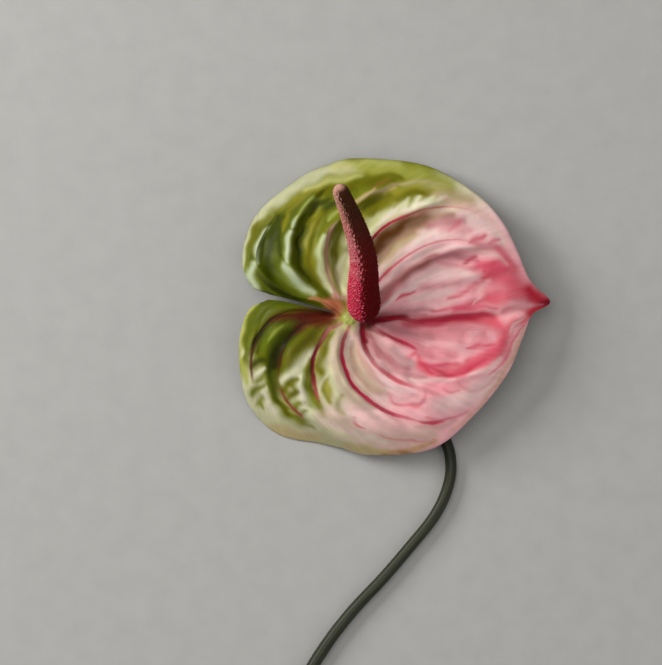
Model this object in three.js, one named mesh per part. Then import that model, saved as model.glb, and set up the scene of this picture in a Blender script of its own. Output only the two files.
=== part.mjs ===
import * as THREE from 'three';

// A cut anthurium flower lying face up: the spathe (the broad waxy blade) rests on its lobes and its
// tip, the spadix (the spike of tiny florets) rises from its middle, and the peduncle (the stem) drops
// from the middle to the surface and runs out from under the blade to its cut end.
// Millimetres, +Z up.  The places below are counted from the stalk joint, where the stem meets the blade.

// ---- where the stalk joint stands over the surface that the flower lies on ----
const JOINT_X = -17.9;
const JOINT_Y = 94;

// ---- spathe ----
const BLADE_THICKNESS = 1.1;
const HOLE_RADIUS = 3.8;
const HOLE_HEIGHT = 15;
const RIM_BULGE = 1.6;
const RIM_BULGE_FROM = 0.72;
const SLIT_CLOSED_ROWS = 3;
const COLUMNS_PER_LINE = 5;
const BLADE_ROWS = 18;

// Lines that fan out from the stalk joint, all the way round from one side of the slit to the other.
// "stations" are the places a quarter, a half, three quarters and the whole way out to the rim, as
// x, y and height of the upper face.  "lift" is how far the blade rises beside the vein on the line; a
// negative lift sinks it, and 0 is a line with no main vein.
const LINES = [
  { lift: 0, stations: [[-9.6, 3.1, 17], [-20, 5.5, 18.5], [-27.2, 7.1, 16.5], [-32.8, 7.8, 12.5]] },
  { lift: 0, stations: [[-10.2, 2.8, 17.2], [-21.6, 4.6, 19.5], [-32, 5, 17], [-40.8, 3.2, 10.5]] },
  { lift: 0, stations: [[-11, 2.4, 17.5], [-23.6, 3.6, 20], [-36.2, -0.4, 16.5], [-44.6, -11.2, 8]] },
  { lift: -1.4, stations: [[-12, 1.9, 17.8], [-28, 0.8, 20.5], [-38.8, -13.2, 15.5], [-41.6, -32.8, 3.5]] },
  { lift: 0, stations: [[-13.2, 1, 18], [-29.2, -4.4, 20.5], [-35.2, -23.2, 14.5], [-29.6, -46.2, 1.1]] },
  { lift: -1.7, stations: [[-13.6, -0.4, 18], [-26.8, -13, 20.5], [-25.6, -31.6, 15], [-12.8, -50.2, 1.1]] },
  { lift: 0, stations: [[-12.8, -3.2, 18], [-21.2, -19.2, 20.5], [-17.6, -35.6, 16], [-3.6, -52, 3.5]] },
  { lift: -1.1, stations: [[-10.6, -6.4, 18], [-14.6, -23.2, 20.5], [-8.8, -38.4, 17.5], [8, -54.8, 7.5]] },
  { lift: 1.9, stations: [[-2.8, -9.6, 17.5], [-0.4, -23.6, 20.5], [14.4, -37.2, 19], [32.8, -52, 12]] },
  { lift: 1.8, stations: [[5.2, -8.8, 17], [15.6, -22.4, 20], [32, -29.6, 19.5], [49.2, -38.8, 14]] },
  { lift: 1.2, stations: [[14, -6.4, 16.5], [28, -14, 19.5], [47.2, -19.6, 19.5], [62.4, -22.4, 15.5]] },
  { lift: 0, stations: [[18.4, -2.8, 16.2], [36.4, -7.2, 19], [54.4, -9.2, 19.5], [68.8, -7.6, 16]] },
  { lift: 0, stations: [[19.2, -1.2, 16], [38.4, -3.2, 18.5], [57.6, -2.4, 19], [72.8, 1.8, 14.5]] },
  { lift: -1.5, stations: [[20, -0.4, 15.5], [40, -0.6, 17.5], [60, 2.4, 18.5], [80.4, 6.8, 9]] },
  { lift: 0, stations: [[19.6, 2, 16], [39.6, 5.2, 18.5], [58, 8.8, 19], [73.8, 13.2, 14.5]] },
  { lift: 1, stations: [[18.4, 6.4, 16.5], [36, 13.2, 19.5], [54.8, 17.2, 20], [70.4, 18, 16]] },
  { lift: 2.7, stations: [[14, 9.2, 17], [27.6, 20.4, 20.5], [45.6, 27.2, 20.5], [66, 28.8, 15.5]] },
  { lift: 0.8, stations: [[8.4, 11.6, 17.5], [19.2, 22.4, 21], [37.6, 31.2, 20.5], [60, 40, 14.5]] },
  { lift: 2.6, stations: [[2.4, 16.4, 18], [12, 32.4, 21.5], [30, 43.6, 20], [50, 50.4, 13]] },
  { lift: 2, stations: [[-5.2, 13.6, 18], [-8, 32, 21.5], [8, 48.4, 19], [30.4, 61.6, 10]] },
  { lift: 2.2, stations: [[-10.8, 11.2, 18], [-22, 22.8, 21.5], [-18, 43.2, 17.5], [3.2, 64.8, 5.5]] },
  { lift: 0, stations: [[-12, 9.7, 18], [-25.2, 17.2, 21], [-28.8, 35.2, 15.5], [-9.6, 62.2, 1.6]] },
  { lift: 2, stations: [[-13.2, 8.2, 17.8], [-27.3, 12.5, 20.5], [-36.8, 27.2, 15], [-20.8, 56.8, 1.1]] },
  { lift: 0, stations: [[-12, 6.4, 17.5], [-25.5, 10.4, 20], [-38.4, 20.8, 15], [-38, 42, 1.1]] },
  { lift: 0, stations: [[-10.9, 5.3, 17.2], [-23.4, 9, 19.5], [-35.4, 15, 15.5], [-43.4, 24.4, 5.5]] },
  { lift: 0, stations: [[-10.2, 4.4, 17], [-21.7, 7.9, 19], [-31.7, 11.4, 16], [-39.6, 13.4, 9.5]] },
  { lift: 0, stations: [[-9.6, 3.7, 17], [-20.4, 6.9, 18.5], [-27.2, 8.6, 16.5], [-32.4, 9.9, 12.5]] },
];

const MIDRIB_LINE = 13;

// A vein's step: the blade has a crest on the lobe's side of the line, falls away over it and has a
// trough on the side of the tip.  The step fades in and out over these shares of the way out.
const CREST_OFFSET = 1.6;
const RIDGE_LOBE_WIDTH = 4.4;
const RIDGE_TIP_WIDTH = 2.4;
const TROUGH_OFFSET = 2.8;
const TROUGH_WIDTH = 2.6;
const TROUGH_DEPTH = 0.55;
const RELIEF_FADES_IN = [0.06, 0.24];
const RELIEF_FADES_OUT = [0.76, 0.94];

// ---- spadix ----
const SPADIX_AXIS = [
  [4.6, -0.5, 20.2], [5.2, 11.5, 28.4], [4.9, 24, 36.8], [1.6, 36.5, 45.2], [-3.6, 51, 55.2],
];
const SPADIX_RADIUS = 6.5;
const SPADIX_TAPER = 0.5;
const SPADIX_BASE_ROUND = 0.09;
const SPADIX_TIP_ROUND = 0.045;
const SPADIX_TAPER_POWER = 1.35;
const SPADIX_END_FLAT = 0.006;
const FLORETS_AROUND = 12;
const FLORET_ROWS = 28;
const FLORET_HEIGHT = 0.3;
const SPADIX_SIDES = 4 * FLORETS_AROUND;
const SPADIX_RINGS_PER_ROW = 2;

// ---- peduncle ----
// The centre of the stem, from the knob that carries the spadix to the cut end.
const STEM_AXIS = [
  [0.8, 0.8, 18.4], [0, 0, 14.6], [1.4, -1.8, 9.4], [8, -9.8, 4], [18.6, -22.4, 2.4], [30.2, -36, 2.4],
  [38.6, -49, 2.4], [40.8, -60, 2.4], [38.6, -70.6, 2.4], [33.4, -80.6, 2.4], [24.2, -92, 2.4],
  [13.4, -104.6, 2.4], [1.8, -117, 2.4], [-8.2, -129.6, 2.4], [-17.2, -144, 2.4], [-25.4, -162, 2.4],
  [-30.4, -184, 2.4], [-31.6, -208, 2.4], [-30.2, -230, 2.4], [-28, -252, 2.4],
];
const KNOB_RADIUS = 3.4;
const KNOB_ROUND = 2.6;
const KNOB_END_FLAT = 0.4;
const KNOB_TO_NECK = [5.6, 12];
const STEM_NECK_RADIUS = 2.45;
const STEM_MIDDLE_RADIUS = 2.25;
const STEM_CUT_RADIUS = 2.9;
const STEM_THINS_OVER = [0.1, 0.35];
const STEM_SWELLS_OVER = [0.35, 1];
const CUT_SLANT = 1.1;
const STEM_SIDES = 12;
const STEM_RINGS = 76;
const STEM_RING_EVENNESS = 0.25;

// ---- finishes ----
const FINISHES = {
  spathe: { color: '#d9a9a3', roughness: 0.38, metalness: 0 },
  spadix: { color: '#b8404f', roughness: 0.6, metalness: 0 },
  peduncle: { color: '#5c6138', roughness: 0.5, metalness: 0 },
};

// An S-shaped rise from 0 to 1 over a range.
function smoothStep([from, to], value) {
  return THREE.MathUtils.smoothstep(value, from, to);
}

function evenShares(count) {
  return Array.from({ length: count + 1 }, (_, step) => step / count);
}

// A curve through a list of points, with an even stretch of parameter between neighbours.
function curveThrough(points) {
  return new THREE.CatmullRomCurve3(points, false, 'catmullrom', 0.5);
}

function closedGeometry(vertices, triangles) {
  const geometry = new THREE.BufferGeometry();
  const coordinates = vertices.flatMap((vertex) => [vertex.x, vertex.y, vertex.z]);
  geometry.setAttribute('position', new THREE.Float32BufferAttribute(coordinates, 3));
  geometry.setIndex(triangles);
  geometry.computeVertexNormals();
  return geometry;
}

// A round solid along a curve.  It has a ring of points at each of the shares of the curve's length;
// radiusAt gives a ring's radius and placed gives each of its points a last touch.
function roundSolid(path, sides, shares, radiusAt, placed = () => {}) {
  const across = new THREE.Vector3(1, 0, 0);
  const vertices = [path.getPointAt(0)];
  for (const share of shares) {
    const centre = path.getPointAt(share);
    const along = path.getTangentAt(share);
    across.addScaledVector(along, -across.dot(along)).normalize();
    const upright = along.clone().cross(across);
    for (let side = 0; side < sides; side += 1) {
      const angle = (2 * Math.PI * side) / sides;
      const radius = radiusAt(share, angle);
      const point = centre.clone();
      point.addScaledVector(across, radius * Math.cos(angle));
      point.addScaledVector(upright, radius * Math.sin(angle));
      placed(point, share, angle, along);
      vertices.push(point);
    }
  }
  const last = vertices.length;
  const finish = new THREE.Vector3();
  vertices.slice(last - sides).forEach((point) => finish.addScaledVector(point, 1 / sides));
  vertices.push(finish);
  const triangles = [];
  for (let side = 0; side < sides; side += 1) {
    const next = (side + 1) % sides;
    triangles.push(0, 1 + next, 1 + side);
    for (let ring = 0; ring < shares.length - 1; ring += 1) {
      const near = 1 + ring * sides;
      const far = near + sides;
      triangles.push(near + side, near + next, far + side);
      triangles.push(near + next, far + next, far + side);
    }
    triangles.push(last, last - sides + side, last - sides + next);
  }
  return closedGeometry(vertices, triangles);
}

// A rounded end: 0 at the very end, 1 once the distance reaches the length of the rounding.
function roundedEnd(distance, length) {
  const left = Math.max(0, 1 - distance / length);
  return Math.sqrt(1 - left * left);
}

// ---- spathe ----
function ringStart(firstStation) {
  const outward = new THREE.Vector2(firstStation[0], firstStation[1]).setLength(HOLE_RADIUS);
  return new THREE.Vector3(outward.x, outward.y, HOLE_HEIGHT);
}

const STATION_CURVES = [
  curveThrough(LINES.map((line) => ringStart(line.stations[0]))),
  ...[0, 1, 2, 3].map((station) =>
    curveThrough(LINES.map((line) => new THREE.Vector3(...line.stations[station])))),
];

// The curve from the hole to the rim at a share of the way round the blade.
function lineAt(around) {
  return curveThrough(STATION_CURVES.map((curve) => curve.getPoint(around)));
}

const MAIN_VEINS = LINES
  .map((line, number) => ({
    lift: line.lift,
    around: number / (LINES.length - 1),
    towardsTip: number <= MIDRIB_LINE ? 1 : -1,
  }))
  .filter((vein) => vein.lift !== 0)
  .map((vein) => ({ ...vein, curve: lineAt(vein.around) }));

function bell(offset, width) {
  return Math.exp(-((offset / width) ** 2));
}

// How far the veins lift or sink the blade at a point.  It fades out at the hole and near the rim.
function veinRelief(point, around, outward) {
  let relief = 0;
  for (const vein of MAIN_VEINS) {
    const onVein = vein.curve.getPoint(outward);
    const distance = Math.hypot(point.x - onVein.x, point.y - onVein.y);
    const beyond = Math.sign(around - vein.around) * vein.towardsTip * distance;
    const ridgeWidth = beyond > -CREST_OFFSET ? RIDGE_TIP_WIDTH : RIDGE_LOBE_WIDTH;
    const ridge = bell(beyond + CREST_OFFSET, ridgeWidth);
    const trough = bell(beyond - TROUGH_OFFSET, TROUGH_WIDTH);
    relief += vein.lift * (ridge - TROUGH_DEPTH * trough);
  }
  return relief * smoothStep(RELIEF_FADES_IN, outward) * (1 - smoothStep(RELIEF_FADES_OUT, outward));
}

function rimBulge(outward) {
  const share = Math.max(0, outward - RIM_BULGE_FROM) / (1 - RIM_BULGE_FROM);
  return RIM_BULGE * Math.sin(Math.PI * share);
}

// The upper face as a grid of points: one column for each line round the blade, and one row for each
// step out from the hole.  It never dips so far that the lower face would be under the surface.
function upperFace() {
  const steps = (LINES.length - 1) * COLUMNS_PER_LINE;
  const columns = [];
  for (let step = 0; step <= steps; step += 1) {
    const around = step / steps;
    const line = lineAt(around);
    const column = [];
    for (let row = 0; row <= BLADE_ROWS; row += 1) {
      const outward = row / BLADE_ROWS;
      const point = line.getPoint(outward);
      point.z += veinRelief(point, around, outward) + rimBulge(outward);
      point.z = Math.max(point.z, BLADE_THICKNESS);
      column.push(point);
    }
    columns.push(column);
  }
  return columns;
}

// The blade closes on itself between the hole and the inner end of the slit, where the first and last
// columns share their points.  Beyond it each side of the slit has its own edge.
function spatheGeometry() {
  const columns = upperFace();
  const lastColumn = columns.length - 1;
  for (let row = 0; row <= SLIT_CLOSED_ROWS; row += 1) {
    columns[0][row].lerp(columns[lastColumn][row], 0.5);
  }
  const upper = [];
  const numbers = [];
  columns.forEach((column, place) => {
    numbers.push(column.map((point, row) => {
      if (place === lastColumn && row <= SLIT_CLOSED_ROWS) {
        return numbers[0][row];
      }
      upper.push(point);
      return upper.length - 1;
    }));
  });
  const down = new THREE.Vector3(0, 0, -BLADE_THICKNESS);
  const lower = upper.map((point) => point.clone().add(down));
  const below = upper.length;
  const triangles = [];
  const wall = (from, to) => {
    triangles.push(from, from + below, to);
    triangles.push(to, from + below, to + below);
  };
  for (let column = 0; column < lastColumn; column += 1) {
    const here = numbers[column];
    const next = numbers[column + 1];
    for (let row = 0; row < BLADE_ROWS; row += 1) {
      triangles.push(here[row], here[row + 1], next[row]);
      triangles.push(next[row], here[row + 1], next[row + 1]);
      triangles.push(here[row] + below, next[row] + below, here[row + 1] + below);
      triangles.push(next[row] + below, next[row + 1] + below, here[row + 1] + below);
    }
    wall(next[0], here[0]);
    wall(here[BLADE_ROWS], next[BLADE_ROWS]);
  }
  for (let row = SLIT_CLOSED_ROWS; row < BLADE_ROWS; row += 1) {
    wall(numbers[0][row], numbers[0][row + 1]);
    wall(numbers[lastColumn][row + 1], numbers[lastColumn][row]);
  }
  return closedGeometry([...upper, ...lower], triangles);
}

// ---- spadix ----
// A tapering spike, rounded at both ends, with the florets as staggered rows of low mounds.
function spadixGeometry() {
  const path = curveThrough(SPADIX_AXIS.map((place) => new THREE.Vector3(...place)));
  const shares = evenShares(SPADIX_RINGS_PER_ROW * FLORET_ROWS);
  const radiusAt = (share, angle) => {
    const base = roundedEnd(share + SPADIX_END_FLAT, SPADIX_BASE_ROUND);
    const tip = roundedEnd(1 - share + SPADIX_END_FLAT, SPADIX_TIP_ROUND);
    const body = SPADIX_RADIUS * (1 - SPADIX_TAPER * share ** SPADIX_TAPER_POWER) * base * tip;
    const mounds = Math.cos(FLORETS_AROUND * angle) * Math.cos(Math.PI * FLORET_ROWS * share);
    return body + FLORET_HEIGHT * mounds * base * tip;
  };
  return roundSolid(path, SPADIX_SIDES, shares, radiusAt);
}

// ---- peduncle ----
// The stem starts as the knob that stands in the blade's hole, narrows to a neck under the blade,
// lies on the surface and widens again towards its slanting cut.
function peduncleGeometry() {
  const path = curveThrough(STEM_AXIS.map((place) => new THREE.Vector3(...place)));
  const length = path.getLength();
  const shares = evenShares(STEM_RINGS).map((share) => {
    return THREE.MathUtils.lerp(share * share, share, STEM_RING_EVENNESS);
  });
  const radiusAt = (share) => {
    const distance = share * length;
    const knob = KNOB_RADIUS * roundedEnd(distance + KNOB_END_FLAT, KNOB_ROUND);
    const thinned = THREE.MathUtils.lerp(
      STEM_NECK_RADIUS, STEM_MIDDLE_RADIUS, smoothStep(STEM_THINS_OVER, share));
    const stem = THREE.MathUtils.lerp(thinned, STEM_CUT_RADIUS, smoothStep(STEM_SWELLS_OVER, share));
    return THREE.MathUtils.lerp(knob, stem, smoothStep(KNOB_TO_NECK, distance));
  };
  const placed = (point, share, angle, along) => {
    if (share === 1) {
      point.addScaledVector(along, CUT_SLANT * Math.cos(angle));
    }
    point.z = Math.max(point.z, 0);
  };
  return roundSolid(path, STEM_SIDES, shares, radiusAt, placed);
}

function mesh(name, geometry) {
  const node = new THREE.Mesh(geometry, new THREE.MeshStandardMaterial(FINISHES[name]));
  node.name = name;
  return node;
}

const flower = new THREE.Group();
flower.position.set(JOINT_X, JOINT_Y, 0);
flower.add(mesh('spathe', spatheGeometry()));
flower.add(mesh('spadix', spadixGeometry()));
flower.add(mesh('peduncle', peduncleGeometry()));

const group = new THREE.Group();
group.add(flower);

export default group;
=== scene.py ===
# %% [markdown]
# # A cut anthurium flower
#
# This lesson dresses a cut anthurium that lies face up on a table. The flower has three pieces: the
# spathe, which is the broad waxy blade that most people call the petal; the spadix, the spike packed
# with tiny florets; and the peduncle, the bare stem. The model of the solids is loaded first, and each
# piece made here then takes the place of one solid, with the same form and much finer skin.

import bpy
import numpy as np
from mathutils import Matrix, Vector


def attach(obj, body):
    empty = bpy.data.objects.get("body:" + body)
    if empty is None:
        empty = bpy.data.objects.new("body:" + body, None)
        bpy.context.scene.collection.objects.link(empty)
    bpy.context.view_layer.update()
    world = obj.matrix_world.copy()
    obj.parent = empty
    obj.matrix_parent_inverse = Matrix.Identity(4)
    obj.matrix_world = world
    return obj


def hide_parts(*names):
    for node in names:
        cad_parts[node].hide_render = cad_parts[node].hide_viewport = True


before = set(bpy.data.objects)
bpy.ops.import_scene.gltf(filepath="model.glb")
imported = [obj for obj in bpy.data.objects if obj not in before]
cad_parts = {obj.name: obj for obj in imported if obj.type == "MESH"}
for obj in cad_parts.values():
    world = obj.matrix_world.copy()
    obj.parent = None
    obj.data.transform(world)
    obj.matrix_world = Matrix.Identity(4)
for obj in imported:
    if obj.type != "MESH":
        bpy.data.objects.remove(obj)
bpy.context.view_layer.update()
MM = 0.001

# %% [markdown]
# ## Curves and meshes
#
# Petals and stems have no straight lines, so every form here comes from smooth curves through a few
# chosen places. A Catmull-Rom curve passes through all its places and needs no handles, which
# a Bezier curve would. One function serves single curves and whole rows of them, because numpy carries
# any number of coordinates along.

# %% A smooth curve through places
def through(places, at):
    """The Catmull-Rom curve through places. Number k in at is place k, and halves lie between; each
    stretch is the cubic whose slope at a place is half the step between that place's neighbours."""
    places = np.asarray(places, float)
    before = 2 * places[:1] - places[1:2]
    after = 2 * places[-1:] - places[-2:-1]
    guide = np.concatenate([before, places, after])
    at = np.clip(np.asarray(at, float), 0, len(places) - 1 - 1e-9)
    start = np.floor(at).astype(int)
    t = (at - start).reshape((-1,) + (1,) * (places.ndim - 1))
    a, b, c, d = (guide[start + k] for k in range(4))
    return 0.5 * (2 * b + (c - a) * t + (2 * a - 5 * b + 4 * c - d) * t**2 + (3 * b - a - 3 * c + d) * t**3)


def smooth_step(low, high, value):
    """0 below low, 1 above high, and an S-shaped ramp of 3 s squared less 2 s cubed between."""
    s = np.clip((value - low) / (high - low), 0, 1)
    return s * s * (3 - 2 * s)


def rounded_end(distance, length):
    """A rounded end's share of the full size: a quarter circle over the length from the end."""
    return np.sqrt(1 - np.clip(1 - distance / length, 0, 1) ** 2)


print("halfway between 0 and 10:", through([[0.0], [10.0]], [0.5])[0, 0])
print("halfway along a rounded end:", rounded_end(0.5, 1.0).round(3), "of the full size")

# %% A mesh from arrays
def make_mesh(name, places, quads, triangles=()):
    """Puts places (in mm) and faces given as rows of corner numbers into a smooth mesh object."""
    mesh = bpy.data.meshes.new(name)
    faces = np.asarray(quads).tolist() + np.asarray(triangles).tolist()
    mesh.from_pydata((np.asarray(places) * MM).tolist(), [], faces)
    mesh.validate()
    mesh.shade_smooth()
    piece = bpy.data.objects.new(name, mesh)
    bpy.context.collection.objects.link(piece)
    return piece


def add_attribute(piece, name, values):
    """Stores one number or one colour for each vertex, for the material to read by name."""
    values = np.asarray(values, np.float32)
    if values.ndim == 1:
        piece.data.attributes.new(name, "FLOAT", "POINT").data.foreach_set("value", values)
    else:
        colours = np.concatenate([values, np.ones((len(values), 1), np.float32)], axis=1)
        store = piece.data.attributes.new(name, "FLOAT_COLOR", "POINT")
        store.data.foreach_set("color", colours.ravel())


# %% [markdown]
# ## Colours and material nodes
#
# Colours are written as sRGB hex, as a paint chart gives them, and one function turns them into the
# linear values that light works with. One small function adds a node and sets or links its inputs.
# Blender's noise seldom leaves the middle of its range, so a map that spreads it out starts from there.

# %% Colour and node helpers
def linear(hex_colour):
    """The linear red, green and blue of an sRGB hex colour: each channel's standard gamma undone."""
    channels = np.array([int(hex_colour[k:k + 2], 16) for k in (1, 3, 5)]) / 255
    return np.where(channels <= 0.04045, channels / 12.92, ((channels + 0.055) / 1.055) ** 2.4)


def add_node(tree, kind, settings=None, **inputs):
    """Adds a node of a kind. settings are its own fields. inputs are named sockets, with _ for a space,
    or numbered ones, as _0 and _1, on nodes whose sockets share a name. An input is a value or an output
    socket to link from."""
    node = tree.nodes.new(kind)
    for field, value in (settings or {}).items():
        setattr(node, field, value)
    for name, value in inputs.items():
        socket = node.inputs[int(name[1:]) if name[1:].isdigit() else name.replace("_", " ")]
        if isinstance(value, bpy.types.NodeSocket):
            tree.links.new(value, socket)
        else:
            socket.default_value = value
    return node


def new_material(name):
    """A node material with no nodes yet, and its tree."""
    material = bpy.data.materials.new(name)
    material.use_nodes = True
    material.node_tree.nodes.clear()
    return material, material.node_tree


NOISE_MIDDLE = {"From_Min": 0.3, "From_Max": 0.7}
print("mid grey in linear light:", np.round(linear("#808080"), 3))

# %% [markdown]
# ## The spathe
#
# The spathe is a leaf that has turned into a show: heart-shaped, thin, stiff and waxy. Its veins fan out
# from the stalk joint, curve round the lobes and puff the blade up between them. A sculpted lump would
# lose that order, so the blade is laid out on the same fan. Twenty-seven lines run from the joint in the
# middle to the rim, from one side of the slit round to the other, and each has four stations. Smooth
# curves through the stations, first round the blade and then outward, give every point of it. The
# lines stand closer together where the rim bends sharply, so the columns of points between them are
# spread by length along the rim, and the mesh stays even.
#
# The stations were chosen one by one. A short search then eased a few of them apart, by 0.4 mm at most,
# where the lines crowd together on the upper side of the slit, so that the blade doesn't fold over
# itself there.
#
# A line with a lift carries a main vein. It stands about that many mm above the blade, or below it if
# the lift is less than 0.

# %% The lines of the blade
JOINT = np.array([-17.9, 94.0, 0.0])
HOLE_RADIUS = 0.7
HOLE_HEIGHT = 17.6
BLADE_THICKNESS = 1.1

# name, lift, and the stations: x and y from the joint and the upper face's height above the table, in mm
LINES = [
    ("slit_low", 0, [(-9.6, 3.1, 17), (-20, 5.5, 18.5), (-27.2, 7.1, 16.5), (-32.8, 7.8, 12.5)]),
    ("edge_low_a", 0, [(-10.2, 2.8, 17.2), (-21.6, 4.6, 19.5), (-32, 5, 17), (-40.8, 3.2, 10.5)]),
    ("edge_low_b", 0, [(-11, 2.4, 17.5), (-23.6, 3.6, 20), (-36.2, -0.4, 16.5), (-44.6, -11.2, 8)]),
    ("low_1", -1.4, [(-12, 1.9, 17.8), (-28, 0.8, 20.5), (-38.8, -13.2, 15.5), (-41.6, -32.8, 3.5)]),
    ("low_1b", 0, [(-13.2, 1, 18), (-29.2, -4.4, 20.5), (-35.2, -23.2, 14.5), (-29.6, -46.2, 1.1)]),
    ("low_2", -1.7, [(-13.6, -0.4, 18), (-26.8, -13, 20.5), (-25.6, -31.6, 15), (-12.8, -50.2, 1.1)]),
    ("low_2b", 0, [(-12.8, -3.2, 18), (-21.2, -19.2, 20.5), (-17.6, -35.6, 16), (-3.6, -52, 3.5)]),
    ("low_3", -1.1, [(-10.6, -6.4, 18), (-14.6, -23.2, 20.5), (-8.8, -38.4, 17.5), (8, -54.8, 7.5)]),
    ("low_4", 1.9, [(-2.8, -9.6, 17.5), (-0.4, -23.6, 20.5), (14.4, -37.2, 19), (32.8, -52, 12)]),
    ("low_5", 1.8, [(5.2, -8.8, 17), (15.6, -22.4, 20), (32, -29.6, 19.5), (49.2, -38.8, 14)]),
    ("low_6", 1.2, [(14, -6.4, 16.5), (28, -14, 19.5), (47.2, -19.6, 19.5), (62.4, -22.4, 15.5)]),
    ("low_7", 0, [(18.4, -2.8, 16.2), (36.4, -7.2, 19), (54.4, -9.2, 19.5), (68.8, -7.6, 16)]),
    ("tip_low", 0, [(19.2, -1.2, 16), (38.4, -3.2, 18.5), (57.6, -2.4, 19), (72.8, 1.8, 14.5)]),
    ("midrib", -1.5, [(20, -0.4, 15.5), (40, -0.6, 17.5), (60, 2.4, 18.5), (80.4, 6.8, 9)]),
    ("tip_high", 0, [(19.6, 2, 16), (39.6, 5.2, 18.5), (58, 8.8, 19), (73.8, 13.2, 14.5)]),
    ("high_7", 1.0, [(18.4, 6.4, 16.5), (36, 13.2, 19.5), (54.8, 17.2, 20), (70.4, 18, 16)]),
    ("high_6", 2.7, [(14, 9.2, 17), (27.6, 20.4, 20.5), (45.6, 27.2, 20.5), (66, 28.8, 15.5)]),
    ("high_5", 0.8, [(8.4, 11.6, 17.5), (19.2, 22.4, 21), (37.6, 31.2, 20.5), (60, 40, 14.5)]),
    ("high_4", 2.6, [(2.4, 16.4, 18), (12, 32.4, 21.5), (30, 43.6, 20), (50, 50.4, 13)]),
    ("high_3", 2.0, [(-5.2, 13.6, 18), (-8, 32, 21.5), (8, 48.4, 19), (30.4, 61.6, 10)]),
    ("high_2", 2.2, [(-10.8, 11.2, 18), (-22, 22.8, 21.5), (-18, 43.2, 17.5), (3.2, 64.8, 5.5)]),
    ("high_1b", 0, [(-12, 9.7, 18), (-25.2, 17.2, 21), (-28.8, 35.2, 15.5), (-9.6, 62.2, 1.6)]),
    ("high_1", 2, [(-13.2, 8.2, 17.8), (-27.3, 12.5, 20.5), (-36.8, 27.2, 15), (-20.8, 56.8, 1.1)]),
    ("edge_high_c", 0, [(-12, 6.4, 17.5), (-25.5, 10.4, 20), (-38.4, 20.8, 15), (-38, 42, 1.1)]),
    ("edge_high_b", 0, [(-10.9, 5.3, 17.2), (-23.4, 9, 19.5), (-35.4, 15, 15.5), (-43.4, 24.4, 5.5)]),
    ("edge_high_a", 0, [(-10.2, 4.4, 17), (-21.7, 7.9, 19), (-31.7, 11.4, 16), (-39.6, 13.4, 9.5)]),
    ("slit_high", 0, [(-9.6, 3.7, 17), (-20.4, 6.9, 18.5), (-27.2, 8.6, 16.5), (-32.4, 9.9, 12.5)]),
]
names = [line[0] for line in LINES]
print(len(LINES), "lines,", sum(line[1] != 0 for line in LINES), "of them main veins")


# %% The blade's grid of points, before any relief
BLADE_COLUMNS = 480
BLADE_ROWS = 100
stations = np.array([line[2] for line in LINES], float).transpose(1, 0, 2)
rim_gaps = np.linalg.norm(np.diff(stations[-1], axis=0), axis=1)
rim_length = np.concatenate([[0], np.cumsum(rim_gaps)])
even_lengths = np.linspace(0, rim_length[-1], BLADE_COLUMNS + 1)
line_number = np.interp(even_lengths, rim_length, np.arange(len(LINES)))
outward = np.linspace(0, 1, BLADE_ROWS + 1)

first_places = stations[0, :, :2]
hole_edge = first_places / np.linalg.norm(first_places, axis=1, keepdims=True) * HOLE_RADIUS
hole_edge = np.concatenate([hole_edge, np.full((len(LINES), 1), HOLE_HEIGHT)], axis=1)
stations = np.concatenate([hole_edge[None], stations])

at_station = outward * (len(stations) - 1)
station_rows = through(stations.transpose(1, 0, 2), line_number).transpose(1, 0, 2)
blade = through(station_rows, at_station)
print("grid of", blade.shape[0], "rows and", blade.shape[1], "columns")

# %% [markdown]
# Each main vein lifts the blade on its lobe side and lets it drop on the side of the tip, so the blade
# steps down across the vein and then rises slowly to the next one, like tiles on a roof. The lift is a
# bell curve with its crest just before the line. The drop is a shallower bell just beyond it, steep on
# the near side and slow on the far side. The distance to a vein is measured within a row of points, so
# it is had for the whole grid at once by taking one curve from all of them. The relief starts a little
# way out from the joint and dies away before the rim, which bulges softly instead.

# %% The relief of the main veins
CREST_OFFSET = 1.6
RIDGE_LOBE_WIDTH = 4.4
RIDGE_TIP_WIDTH = 2.4
TROUGH_OFFSET = 2.8
TROUGH_NEAR_WIDTH = 2.6
TROUGH_FAR_WIDTH = 5.5
TROUGH_DEPTH = 0.55
RIM_BULGE = 1.6
RIM_BULGE_FROM = 0.72
RELIEF_STARTS = (0.06, 0.24)
RELIEF_ENDS = (0.76, 0.94)
tip_line = names.index("midrib")

out = outward[:, None]
relief = np.zeros(blade.shape[:2])
for number, (name, lift, _) in enumerate(LINES):
    if lift == 0:
        continue
    vein_line = through(stations[:, number, :2], at_station)
    across = np.linalg.norm(blade[..., :2] - vein_line[:, None], axis=2)
    towards_tip = 1 if number <= tip_line else -1
    beyond = across * np.sign(line_number - number) * towards_tip
    width = np.where(beyond > -CREST_OFFSET, RIDGE_TIP_WIDTH, RIDGE_LOBE_WIDTH)
    ridge = np.exp(-(((beyond + CREST_OFFSET) / width) ** 2))
    width = np.where(beyond > TROUGH_OFFSET, TROUGH_FAR_WIDTH, TROUGH_NEAR_WIDTH)
    trough = np.exp(-(((beyond - TROUGH_OFFSET) / width) ** 2))
    relief += lift * (ridge - TROUGH_DEPTH * trough)

relief *= smooth_step(*RELIEF_STARTS, out) * (1 - smooth_step(*RELIEF_ENDS, out))
rim_share = np.clip(out - RIM_BULGE_FROM, 0, 1) / (1 - RIM_BULGE_FROM)
relief += RIM_BULGE * np.sin(np.pi * rim_share)
print("relief from", relief.min().round(2), "to", relief.max().round(2), "mm")
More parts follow.
